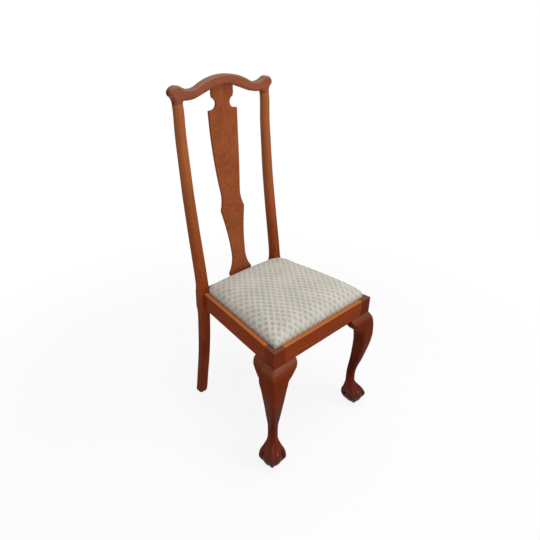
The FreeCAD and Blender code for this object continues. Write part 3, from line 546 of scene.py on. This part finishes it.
def mesh_of_rings(name, groups, looped=False):
    """A mesh from groups of rings. Each group is closed at both ends, or looped onto itself."""
    shape = bmesh.new()
    for rings in groups:
        rows = [[shape.verts.new(point * mm) for point in ring] for ring in rings]
        for low, high in zip(rows, rows[1:] + rows[:1] if looped else rows[1:]):
            for i in range(len(low)):
                j = (i + 1) % len(low)
                shape.faces.new((low[i], low[j], high[j], high[i]))
        if not looped:
            shape.faces.new(list(reversed(rows[0])))
            shape.faces.new(rows[-1])
    bmesh.ops.recalc_face_normals(shape, faces=shape.faces)
    return mesh_from(shape, name)


def rod_rings(centres, radii, across):
    """Round rings square to a path."""
    sides = 20
    turns = [2 * math.pi * k / sides for k in range(sides)]
    rings = []
    for i, centre in enumerate(centres):
        along = (centres[min(i + 1, len(centres) - 1)] - centres[max(i - 1, 0)]).normalized()
        up = along.cross(across).normalized()
        level = up.cross(along)
        rings.append([centre + (level * math.cos(t) + up * math.sin(t)) * radii[i] for t in turns])
    return rings


# A talon from its nail to the ankle: (height, share of its reach, share of its thickness).
talon_line = [
    (on_ball(-0.76), 0.44, 0.92),
    (on_ball(-0.64), 0.55, 1.00),
    (on_ball(-0.46), 0.72, 1.02),
    (on_ball(-0.36), 0.795, 1.00),
    (on_ball(-0.29), 0.85, 1.00),
    (on_ball(-0.12), 0.94, 1.06),
    (on_ball(0.06), 0.995, 1.12),
    (on_ball(0.28), 0.985, 1.00),
    (on_ball(0.46), 0.935, 1.06),
    (on_ball(0.70), 0.82, 1.08),
    (on_ball(0.93), 0.69, 1.02),
    (on_neck(0.12), 0.53, 0.97),
    (on_neck(0.28), 0.40, 0.88),
    (on_neck(0.50), 0.32, 0.74),
    (on_neck(0.70), 0.27, 0.55),
]


def talon_rings(direction):
    """One talon, with its knuckles and nail."""
    reach = talon_reach - talon_radius
    across = Vector((-direction.y, direction.x, 0))
    outs = [(z, out) for z, out, _ in talon_line]
    sizes = [(z, size) for z, _, size in talon_line]
    heights = evenly(talon_line[0][0], talon_line[-1][0], 4 * (len(talon_line) - 1))
    centres = [foot_axis(z) + direction * (reach * flow(outs, z)) for z in heights]
    radii = [talon_radius * flow(sizes, z) for z in heights]
    return rod_rings(centres, radii, across)


def ball_rings():
    """The ball, a little hollowed away from the talons."""
    centre = foot_axis(ball_height)
    carved_radius = 0.955 * ball_radius
    levels, sides = 32, 48
    rings = []
    for i in range(1, levels):
        lift = math.pi * (i / levels - 0.5)
        level = centre + Vector((0, 0, carved_radius * math.sin(lift)))
        rings.append(round_ring(level, [carved_radius * math.cos(lift)] * sides))
    return rings


def shown(name, mesh, material):
    """A new piece with its finish."""
    piece = bpy.data.objects.new(name, mesh)
    bpy.context.scene.collection.objects.link(piece)
    mesh.materials.clear()
    if material:
        mesh.materials.append(material)
    return piece


def settle(piece):
    """Fixes a piece's modifiers into its mesh."""
    bpy.context.view_layer.update()
    depsgraph = bpy.context.evaluated_depsgraph_get()
    mesh = bpy.data.meshes.new_from_object(piece.evaluated_get(depsgraph))
    piece.modifiers.clear()
    piece.data = mesh


def reskin(piece, cut, smooth=False):
    """One skin over a piece's overlapping forms, in facets of the size of a cut."""
    skin = piece.modifiers.new("skin", "REMESH")
    skin.mode = "VOXEL"
    skin.voxel_size = cut
    skin.use_smooth_shade = smooth


def rub(piece, passes, group=""):
    """Rubs a piece smooth, all over or by a group's shares."""
    sanding = piece.modifiers.new("rub", "SMOOTH")
    sanding.factor = 0.5
    sanding.iterations = passes
    sanding.vertex_group = group


def carve(piece, cut, passes, extra, level, over=60):
    """Makes one skin of a piece's overlapping forms, as carving does, and rubs it smooth. Extra
    passes come in over some millimetres above a level."""
    reskin(piece, cut, smooth=True)
    rub(piece, passes)
    settle(piece)
    above = piece.vertex_groups.new(name="above")
    for vertex in piece.data.vertices:
        share = min(1.0, max(0.0, (vertex.co.z / mm - level) / over))
        above.add([vertex.index], share, "REPLACE")
    rub(piece, extra, "above")
    settle(piece)


def welded(name):
    """Geometry of a piece from the workshop, with its seams closed."""
    shape = worked(nodes[name].data)
    bmesh.ops.remove_doubles(shape, verts=shape.verts, dist=weld_gap)
    return shape


def copied(name):
    """A mesh of a piece from the workshop."""
    return mesh_from(welded(name), name + "_copy")


def saw(shape, geometry, point, normal):
    """Keeps what lies on the normal's side of a saw cut, and closes the sawn face."""
    cut = bmesh.ops.bisect_plane(
        shape, geom=geometry, plane_co=point * mm, plane_no=normal, clear_inner=True
    )
    edges = [e for e in cut["geom_cut"] if isinstance(e, bmesh.types.BMEdge)]
    bmesh.ops.holes_fill(shape, edges=edges)


def square_block(name):
    """The leg's square block, with its mortises and its notch for the loose seat."""
    shape = welded(name)
    everything = shape.verts[:] + shape.edges[:] + shape.faces[:]
    saw(shape, everything, Vector((0, 0, rail_bottom + 0.01)), upright)
    flat = math.radians(1)
    bmesh.ops.dissolve_limit(shape, angle_limit=flat, verts=shape.verts, edges=shape.edges)
    return mesh_from(shape, name + "_block")


def flipped(mesh, name):
    """The same mesh for the other side of the chair."""
    other = mesh.copy()
    other.name = name
    other.transform(Matrix.Scale(-1, 4, crosswise))
    other.flip_normals()
    return other


def parted(mesh, name, keep_above, point, normal):
    """The part of a mesh on one side of a saw cut. Nothing lower than keep_above is cut."""
    shape = worked(mesh)
    upper = [f for f in shape.faces if f.calc_center_median().z > keep_above * mm]
    corners = {v for f in upper for v in f.verts}
    edges = {e for f in upper for e in f.edges}
    saw(shape, list(corners | edges) + upper, point, normal)
    return mesh_from(shape, name)


def without_leg(mesh, name, level):
    """A mesh less what lies below a level."""
    shape = worked(mesh)
    low = [v for v in shape.verts if v.co.z < level * mm]
    bmesh.ops.delete(shape, geom=low, context="VERTS")
    return mesh_from(shape, name)


def leg_wood(side, turned, deep, bright):
    """The legs' wood: its layers face out at the knee, so that they show there as ovals."""
    wood, stain = polished_wood(
        f"{side}_leg_wood", upright, (0.7 * turned, -0.7, 0), deep, bright,
        thickness=9 * mm, wander=24 * mm, figure=0.20, relief=0.01 * mm,
    )
    height = wood.dot(wood.place, upright)
    # The stain is darker around the ankle and the lower shank.
    shank = height.between(0.10, 0.15) * (1 - height.between(0.18, 0.30))
    darker_shank = wood.mix(stain, colour(60, 14, 5), 0.65 * shank)
    # The lower foot is painted darker: painted shade on the ball's underside near the floor.
    footed = wood.mix(darker_shank, colour(72, 27, 17), 0.8 * (1 - height.between(0.03, 0.07)))
    # The knee's upward faces are painted paler and greyer: painted sheen of the light from above.
    painted_knee_sheen = facing(wood, upright, 0.25, 0.70) * height.between(0.20, 0.30)
    footed = wood.mix(footed, colour(134, 82, 60), painted_knee_sheen * 0.6)
    at_top = height.between((block_top - 2) * mm, (block_top - 1) * mm)
    end_grain = facing(wood, upright, 0.6, 0.9) * at_top
    wood.coat(
        Base_Color=wood.mix(footed, colour(112, 72, 56), end_grain * 0.8),
        Coat_Weight=0.05 + 0.22 * (1 - height.between(0.05, 0.11)),
        Coat_Roughness=0.22,
    )
    return wood.material


carving = [
    [web_ring(z) for z in evenly(on_ball(0.10), ankle_height, 30)],
    [shank_ring(z) for z in evenly(ankle_height, rail_bottom + 4, 90)],
    ball_rings(),
    *[talon_rings(direction) for direction in (outward, sideways, -outward, -sideways)],
]
rough_forms = [mesh_of_rings("rough_leg", carving)]
# Each bracket is set in at three places towards the knee, so that no gap is left to carve over,
# and at two that are lower as well, to run its tip out into the shank: (inwards, lower).
bracket_places = [(0, 0), (3, 0), (6, 0), (6, 5), (9, 10)]
for face, towards in (("front", Vector((1, 0, 0))), ("side", Vector((0, -1, 0)))):
    for inwards, lower in bracket_places:
        glued = copied(f"left_{face}_knee_bracket")
        glued.transform(Matrix.Translation((towards * inwards - Vector((0, 0, lower))) * mm))
        rough_forms.append(glued)
carved = shown("carved_leg", mesh_from(worked(*rough_forms), "leg_and_brackets"), None)
carve(carved, cut=0.9 * mm, passes=13, extra=75, level=ankle_height)
for vertex in carved.data.vertices:
    vertex.co.z = max(vertex.co.z, 0.0)

saw_clearance = 0.3
block_inner = Vector((outer_face - block_side - saw_clearance, 0, 0))
block_back = Vector((0, front_line / mm + block_side + saw_clearance, 0))
run_out = 16
bracket_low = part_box("left_front_knee_bracket")[0].z / mm - run_out
half_cut = parted(carved.data, "half_cut", bracket_low, block_inner, (1, 0, 0))
front_cut = parted(carved.data, "front_cut", 0, block_inner, (-1, 0, 0))
side_cut = parted(carved.data, "side_cut", 0, block_back, (0, 1, 0))
carved_parts = {
    "cabriole_leg": parted(half_cut, "leg_cut", bracket_low, block_back, (0, -1, 0)),
    "front_bracket": without_leg(front_cut, "front_bracket", bracket_low),
    "side_bracket": without_leg(side_cut, "side_bracket", bracket_low),
}
bpy.data.objects.remove(carved)

# The left leg's stain is painted darker than the right's, as painted shade.
leg_stains_and_shade = {
    "left": (1, (72, 20, 4), (108, 38, 10)),
    "right": (-1, (82, 25, 5), (122, 47, 12)),
}
for side, (turned, deep, bright) in leg_stains_and_shade.items():
    material = leg_wood(side, turned, deep, bright)
    node_name = f"{side}_front_leg"
    block = shown(node_name + "_block", square_block(node_name), material)
    ease_edges(block, 0.8 * mm)
    settle(block)
    stands_for = {
        "cabriole_leg": node_name,
        "front_bracket": f"{side}_front_knee_bracket",
        "side_bracket": f"{side}_side_knee_bracket",
    }
    for part, node in stands_for.items():
        own = carved_parts[part]
        forms = [own if side == "left" else flipped(own, f"{part}_flipped")]
        if part == "cabriole_leg":
            forms.append(block.data)
        piece = shown(f"{side}_{part}", mesh_from(worked(*forms), f"{side}_{part}"), material)
        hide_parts(node)
        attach(piece, "chair_frame")
    bpy.data.objects.remove(block)


# Corner blocks, batten, screws and dowels. Plain pale wood, sawn and left unpolished inside the
# frame, with old steel screws.
def plain_wood(name, grain, layers):
    """Sawn beech or pine, a little dusty."""
    wood = Finish(name)
    ring, fibre, pores = timber(wood, grain, layers, 5 * mm, 20 * mm)
    sawn = wood.mix(colour(150, 112, 72), colour(196, 160, 112), ring * 0.4 + fibre * 0.6)
    sawn = wood.mix(sawn, colour(96, 66, 40), pores * 0.4)
    wood.coat(Base_Color=sawn, Roughness=0.62 + 0.2 * fibre)
    wood.rough(fibre, 0.15 * mm)
    return wood.material


pale_cross_wood = plain_wood("pale_cross_wood", crosswise, (0, 0.4, 0.9))
pale_long_wood = plain_wood("pale_long_wood", lengthwise, (0.4, 0, 0.9))
for end in ("left_front", "right_front", "left_rear", "right_rear"):
    dress(f"{end}_corner_block", pale_long_wood, 0.5 * mm)
dress("back_seat_batten", pale_cross_wood, 0.5 * mm)
dress("crest_dowels", pale_long_wood, 0.3 * mm)


def old_steel(name, bright, dull, roughness):
    """Steel that has darkened, with spots of rust."""
    steel = Finish(name)
    spots = steel.noise(steel.place, 900.0, 3.0)
    steel.coat(
        Base_Color=steel.mix(colour(*bright), colour(*dull), spots.between(0.45, 0.65)),
        Metallic=1.0 - 0.6 * spots.between(0.55, 0.7),
        Roughness=roughness + 0.3 * spots,
    )
    steel.rough(spots, 0.05 * mm)
    return steel.material


screw_steel = old_steel("screw_steel", (150, 146, 140), (96, 78, 62), 0.30)
dress("corner_block_screws", screw_steel, 0.6 * mm)
dress("batten_screws", screw_steel, 0.6 * mm)


# Loose seat frame. Four members of plain pale wood, sawn square, halved over each other at the
# corners and glued.
for name in ("seat_frame_front", "seat_frame_back"):
    dress(name, pale_cross_wood, 0.6 * mm)
for name in ("seat_frame_left", "seat_frame_right"):
    dress(name, pale_long_wood, 0.6 * mm)


# Webbing and hessian. Three jute straps each way, woven over and under and strained over the
# seat frame, with a sheet of coarse hessian tacked over them to carry the stuffing.
def thread_cloth(name, first, second, threads, depth):
    """A plain weave of two threads, laid along X and Y."""
    cloth = Finish(name)
    across = cloth.node("ShaderNodeSeparateXYZ", {}, {0: cloth.place})
    along = across.beside(1)
    warp = (across * (math.pi / threads)).sine()
    weft = (along * (math.pi / threads)).sine()
    over = (warp * weft).between(-0.6, 0.6)
    worn = cloth.noise(cloth.place, 120.0, 4.0)
    shade = cloth.mix(colour(*first), colour(*second), over * 0.6 + worn * 0.4)
    cloth.coat(Base_Color=shade, Roughness=0.85)
    cloth.rough(abs(warp) + abs(weft), depth)
    return cloth.material


webbing_cloth = thread_cloth("webbing_cloth", (120, 92, 56), (172, 142, 98), 1.6 * mm, 0.3 * mm)
hessian_cloth = thread_cloth("hessian_cloth", (112, 84, 52), (168, 136, 92), 2.2 * mm, 0.4 * mm)


def cloth_piece(node_name, new_name, material):
    """A strained cloth piece that lies where the workshop's solid lies."""
    piece = shown(new_name, copied(node_name), material)
    ease_edges(piece, 0.3 * mm)
    settle(piece)
    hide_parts(node_name)
    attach(piece, "drop_in_seat")
    return piece


webbing_long = cloth_piece("seat_webbing_lengthwise", "webbing_long", webbing_cloth)
webbing_cross = cloth_piece("seat_webbing_crosswise", "webbing_cross", webbing_cloth)
hessian = cloth_piece("seat_hessian", "hessian_sheet", hessian_cloth)


# Stuffed seat. The stuffing and its woven cover are one soft form: a firm crowned top, a band
# that stands up from the rebate, and a hem turned under the frame and tacked there.
seat_height = block_top
seat_low, seat_high = [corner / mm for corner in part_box("seat_cover")]
cover = 1.2
hem = 33.0
band_low = seat_height - 1.0
band_top = seat_height + 12.0
crown = 44.0
corner_round = 10.0
skirt_round = 3.0
roll = 3.2
frame_low, frame_high = [corner.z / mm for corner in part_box("seat_frame_front")]
hessian_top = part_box("seat_hessian")[1].z / mm
back_width = 354.0
rails_depth = 386.0
side_slope = (front_width - back_width) / 2 / rails_depth
side_stretch = math.hypot(1, side_slope)
lip_width = 16.5
lip_gap = 1.5
side_inset = (lip_width + lip_gap) * side_stretch
front_half = outer_face - side_slope * (seat_low.y - front_line / mm) - side_inset
back_half = front_half - side_slope * (seat_high.y - seat_low.y)


def seat_corners(inset):
    """The four corners of the seat in plan, drawn in evenly."""
    y0, y1 = seat_low.y + inset, seat_high.y - inset
    x0 = front_half - side_slope * inset - inset * side_stretch
    x1 = back_half + side_slope * inset - inset * side_stretch
    return [Vector((x0, y0, 0)), Vector((x1, y1, 0)), Vector((-x1, y1, 0)), Vector((-x0, y0, 0))]


def seat_outline(inset, z, radius, scale=1.0, bow=0.0):
    """A ring of the seat at one height, with round corners and sides that bow out a little."""
    corner_steps = 8
    side_steps = 12
    corners = seat_corners(inset)
    middle = Vector((0, (corners[0].y + corners[1].y) / 2, 0))
    corners = [middle + (c - middle) * scale for c in corners]
    points = []
    for i, corner in enumerate(corners):
        before = (corners[i - 1] - corner).normalized()
        after = (corners[(i + 1) % 4] - corner).normalized()
        half_angle = before.angle(after) / 2
        start = corner + before * (radius / math.tan(half_angle))
        centre = corner + (before + after).normalized() * (radius / math.sin(half_angle))
        turn = 2 * (math.pi / 2 - half_angle)
        spin = 1 if before.cross(after).z < 0 else -1
        for step in range(corner_steps + 1):
            spun = Matrix.Rotation(spin * turn * step / corner_steps, 3, "Z")
            turned = spun @ (start - centre)
            points.append(centre + turned + Vector((0, 0, z)))
        following = corners[(i + 1) % 4]
        last = points[-1]
        first = following + (corner - following).normalized() * (radius / math.tan(half_angle))
        outwards = ((corner + following) / 2 - middle).normalized()
        for step in range(1, side_steps):
            share = step / side_steps
            point = last.lerp(first + Vector((0, 0, z)), share)
            points.append(point + outwards * (bow * math.sin(math.pi * share)))
    return points


def seat_rings():
    """The stuffed top of the seat: its foot in the rebate, the roll that lies over the rails'
    lips, and the crown."""
    inset = 1.0
    foot = [(inset + 1.5, seat_height - 4.0), (inset, seat_height - 2.5), (inset, band_low)]
    rings = [seat_outline(drawn, z, skirt_round) for drawn, z in foot]
    roll_steps = 4
    for i in range(1, roll_steps + 1):
        share = i / roll_steps
        level = band_low + (band_top - band_low) * share
        radius = skirt_round + (corner_round - skirt_round) * share
        rings.append(seat_outline(inset - roll * math.sin(math.pi / 2 * share), level, radius))
    # The crown is a full dome that ends in a small flat.
    crown_steps = 28
    last_share = 0.985
    steepness = 3.7
    small = min(front_half, (seat_high.y - seat_low.y) / 2)
    for i in range(1, crown_steps + 1):
        share = math.sin(math.pi / 2 * i / crown_steps) * last_share
        drawn_in = share**steepness
        scale = (1 - drawn_in) ** 0.4
        radius = max(corner_round, (0.05 + 0.80 * math.sqrt(drawn_in)) * scale * small)
        level = band_top + crown * share
        rings.append(seat_outline(inset - roll, level, radius, scale, bow=4.0 * share))
    return rings


def skirt_rings():
    """The cover's straight sides and hem: cloth strained down over the seat frame and under it."""
    just_inside = 0.1
    line = [(just_inside, z) for z in (frame_high, seat_height, seat_height - 6, seat_low.z + 1)]
    line += [(inset, seat_low.z) for inset in (1, 5, 9, 13, hem)]
    line += [(hem, frame_low), (cover, frame_low), (cover, frame_high)]
    return [seat_outline(inset, z, skirt_round) for inset, z in line]


seat_cloth = Finish("seat_cloth")
unrolled = seat_cloth.node("ShaderNodeAttribute", {"attribute_name": "unrolled"}, {}, "Vector")
cloth_x = seat_cloth.node("ShaderNodeSeparateXYZ", {}, {0: unrolled})
cloth_y = cloth_x.beside(1)
# The weave is a lattice of lozenges, each with a dot at its heart.
lozenge_width = 22.4 * mm
lozenge_depth = 27.8 * mm
cell_p = cloth_x / lozenge_width - cloth_y / lozenge_depth
cell_q = cloth_x / lozenge_width + cloth_y / lozenge_depth
from_heart = abs(cell_p.fraction() - 0.5).larger(abs(cell_q.fraction() - 0.5))
dot = 1 - from_heart.between(0.15, 0.30)
trellis = from_heart.between(0.38, 0.46)
warp_thread = 0.9 * mm
weft_thread = 0.7 * mm
warp = (cloth_x * (2 * math.pi / warp_thread)).sine()
weft = (cloth_y * (2 * math.pi / weft_thread)).sine()
soft = seat_cloth.noise(unrolled, 14.0, 3.0)
fuzz = seat_cloth.noise(unrolled, 900.0, 2.0)
tint = seat_cloth.noise(unrolled, 11.0, 1.0)
# The dots change from green to rose and back in slanting stripes.
stripe = 88 * mm
band = ((cloth_x - cloth_y) / stripe * math.pi).sine() * 0.5 + (tint - 0.5) * 3
ground = seat_cloth.mix(colour(176, 172, 158), colour(192, 187, 176), soft.between(0.35, 0.65))
ground = seat_cloth.mix(ground, colour(204, 200, 189), trellis * 0.8)
dots = seat_cloth.mix(colour(136, 144, 130), colour(168, 146, 138), band.between(-0.4, 0.4))
woven = seat_cloth.mix(ground, dots, dot * 0.62)
woven = seat_cloth.mix(woven, colour(226, 220, 206), (fuzz - 0.5) * 0.25 + 0.05)
seat_cloth.coat(
    Base_Color=woven, Roughness=0.78 + 0.1 * fuzz, Sheen_Weight=0.15, Sheen_Roughness=0.5
)
seat_cloth.rough(warp * weft * 0.35 + dot * 0.4 + fuzz * 0.4, 0.25 * mm)


def stuff(piece, pressure, reach, held_below):
    """Blows a piece up like stuffing strained under cloth, by no more than reach. The sides below
    the crown stay strained straight."""
    rest = [v.co.copy() for v in piece.data.vertices]
    held = piece.vertex_groups.new(name="held")
    held.add([i for i, co in enumerate(rest) if co.z < held_below], 1.0, "REPLACE")
    cloth = piece.modifiers.new("cloth", "CLOTH")
    cloth.settings.use_pressure = True
    cloth.settings.uniform_pressure_force = pressure
    cloth.settings.effector_weights.gravity = 0.0
    cloth.settings.vertex_group_mass = "held"
    cloth.settings.quality = 6
    scene = bpy.context.scene
    frames = 20
    scene.frame_start, scene.frame_end = 1, frames
    for number in range(1, frames + 1):
        scene.frame_set(number)
    settle(piece)
    fade = 16 * mm
    for vertex, old in zip(piece.data.vertices, rest):
        move = vertex.co - old
        slack = min(1.0, max(0.0, (old.z - band_top * mm) / fade))
        vertex.co = old + move * (slack * min(1.0, reach / max(move.length, 1e-9)))
    scene.frame_set(1)


cushion = shown("seat_cushion", mesh_of_rings("cushion", [seat_rings()]), seat_cloth.material)
reskin(cushion, 5 * mm)
settle(cushion)
stuff(cushion, pressure=4.0, reach=4 * mm, held_below=(seat_height - 2) * mm)

finer = cushion.modifiers.new("finer", "SUBSURF")
finer.levels = finer.render_levels = 1
# The hollow under the cover holds the seat frame, and a shallower one the webbing and hessian:
# (inset, lower level, upper level).
hollows = [(cover, frame_low, frame_high), (cover + 9, frame_high - 1, hessian_top)]
tools = []
for inset, *levels in hollows:
    walls = [[corner + Vector((0, 0, z)) for corner in seat_corners(inset)] for z in levels]
    tools.append(shown("hollow", mesh_of_rings("hollow", [walls]), None))
    cut = cushion.modifiers.new("cut", "BOOLEAN")
    cut.operation = "DIFFERENCE"
    cut.solver = "EXACT"
    cut.object = tools[-1]
settle(cushion)
for tool in tools:
    bpy.data.objects.remove(tool)
skirt = mesh_of_rings("skirt", [skirt_rings()], looped=True)
cushion.data = mesh_from(worked(cushion.data, skirt), "seat_cushion")
cushion.data.materials.append(seat_cloth.material)
cushion.data.polygons.foreach_set("use_smooth", [True] * len(cushion.data.polygons))


def unroll(mesh):
    """Stores where each point of the cover lay when the cloth was flat."""
    middle_y = (seat_low.y + seat_high.y) / 2
    turn_height = band_top + 8
    turn_width = 12
    stored = mesh.attributes.new("unrolled", "FLOAT_VECTOR", "POINT")
    for vertex, flat in zip(mesh.vertices, stored.data):
        x, y, z = vertex.co / mm
        side_x = front_half - side_slope * (y - seat_low.y)
        fall = max(0.0, turn_height - z)
        near_x = max(0.0, 1 - (side_x - abs(x)) / turn_width)
        near_y = max(0.0, 1 - min(y - seat_low.y, seat_high.y - y) / turn_width)
        u = x + math.copysign(fall * near_x, x)
        v = y + math.copysign(fall * near_y * (1 - near_x), y - middle_y)
        flat.vector = Vector((u, v, 0)) * mm


unroll(cushion.data)
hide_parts("seat_pad", "seat_cover")
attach(cushion, "drop_in_seat")


# Tacks and dust cloth. Blued cut tacks hold the cover's hem under the seat frame, and a thin dark
# cotton cloth over the hem closes the underside.
tack_steel = old_steel("tack_steel", (70, 72, 80), (40, 34, 30), 0.34)
dress("cover_tacks", tack_steel, 0.3 * mm)
dust_cloth = thread_cloth("dust_cloth_black", (34, 32, 30), (58, 55, 52), 0.8 * mm, 0.1 * mm)
dust = cloth_piece("dust_cloth", "dust_cloth_sheet", dust_cloth)


# Studio. A pale floor that runs out into white, three soft lamps and the photograph's camera.
# Seen by the camera or in a reflection, floor and sky are whiter than the light that they give.
floor_finish = Finish("studio_floor")
camera_ray = floor_finish.node("ShaderNodeLightPath", {}, {}, "Is Camera Ray")
seen_rays = camera_ray + camera_ray.beside("Is Glossy Ray") + camera_ray.beside("Is Transmission Ray")
distance = {"operation": "LENGTH"}
reach = floor_finish.node("ShaderNodeVectorMath", distance, {0: floor_finish.place}, 1)
shown_white = seen_rays * (0.86 + 0.14 * reach.between(0.7, 1.6))
white = floor_finish.node("ShaderNodeEmission", {}, {"Color": (1, 1, 1, 1), "Strength": 1.0})
plain = floor_finish.node("ShaderNodeBsdfDiffuse", {}, {"Color": (0.9, 0.9, 0.9, 1)})
blend = floor_finish.node("ShaderNodeMixShader", {}, {0: shown_white, 1: plain, 2: white})
floor_finish.put(floor_finish.nodes["Material Output"].inputs["Surface"], blend)
far = 12
floor_corners = [(-far, -far, 0), (far, -far, 0), (far, far, 0), (-far, far, 0)]
floor_mesh = bpy.data.meshes.new("floor")
floor_mesh.from_pydata(floor_corners, [], [(0, 1, 2, 3)])
floor = shown("floor", floor_mesh, floor_finish.material)

world = bpy.data.worlds.new("studio")
bpy.context.scene.world = world
world.use_nodes = True
sky = Tree(world.node_tree)
camera_ray = sky.node("ShaderNodeLightPath", {}, {}, "Is Camera Ray")
seen_ray = camera_ray.larger(camera_ray.beside("Is Glossy Ray"))
seen_ray = seen_ray.larger(camera_ray.beside("Is Transmission Ray"))
sky.put(sky.nodes["Background"].inputs["Strength"], 0.5 + 0.5 * seen_ray)
sky.put(sky.nodes["Background"].inputs["Color"], (1, 1, 1, 1))


def soft_lamp(name, place, aim, size, watts):
    """A square soft lamp turned towards a point."""
    lamp = bpy.data.lights.new(name, "AREA")
    lamp.shape = "SQUARE"
    lamp.size = size
    lamp.energy = watts
    stand = bpy.data.objects.new(name, lamp)
    bpy.context.scene.collection.objects.link(stand)
    stand.location = place
    stand.rotation_mode = "QUATERNION"
    stand.rotation_quaternion = (Vector(aim) - Vector(place)).to_track_quat("-Z", "Y")


soft_lamp("overhead", (0.3, -0.5, 2.9), (0, 0, 0.4), 1.4, 29)
soft_lamp("front_window", (1.4, -2.7, 1.5), (0, 0, 0.5), 0.6, 20)
soft_lamp("near_window", (-1.0, -2.0, 1.7), (0, 0, 0.3), 0.25, 7)

# The camera stands where the photograph was taken from, and is tilted a little as it was.
forward = Vector((0.63292, 0.60790, -0.47945)).normalized()
level = forward.cross(Vector(upright)).normalized()
rise = level.cross(forward)
tilt = math.radians(2.13)
right = level * math.cos(tilt) + rise * math.sin(tilt)
up = rise * math.cos(tilt) - level * math.sin(tilt)
camera_data = bpy.data.cameras.new("camera")
camera_data.sensor_width = 36.0
camera_data.lens = 33.437
camera_data.shift_x = -0.02561
camera_data.shift_y = -0.00876
camera = bpy.data.objects.new("camera", camera_data)
bpy.context.scene.collection.objects.link(camera)
turn = Matrix((right, up, -forward)).transposed().to_4x4()
camera_place = (-1.01665, front_line - 0.78351, 1.35247)
camera.matrix_world = Matrix.Translation(camera_place) @ turn
bpy.context.scene.camera = camera
bpy.context.scene.view_settings.view_transform = "Standard"
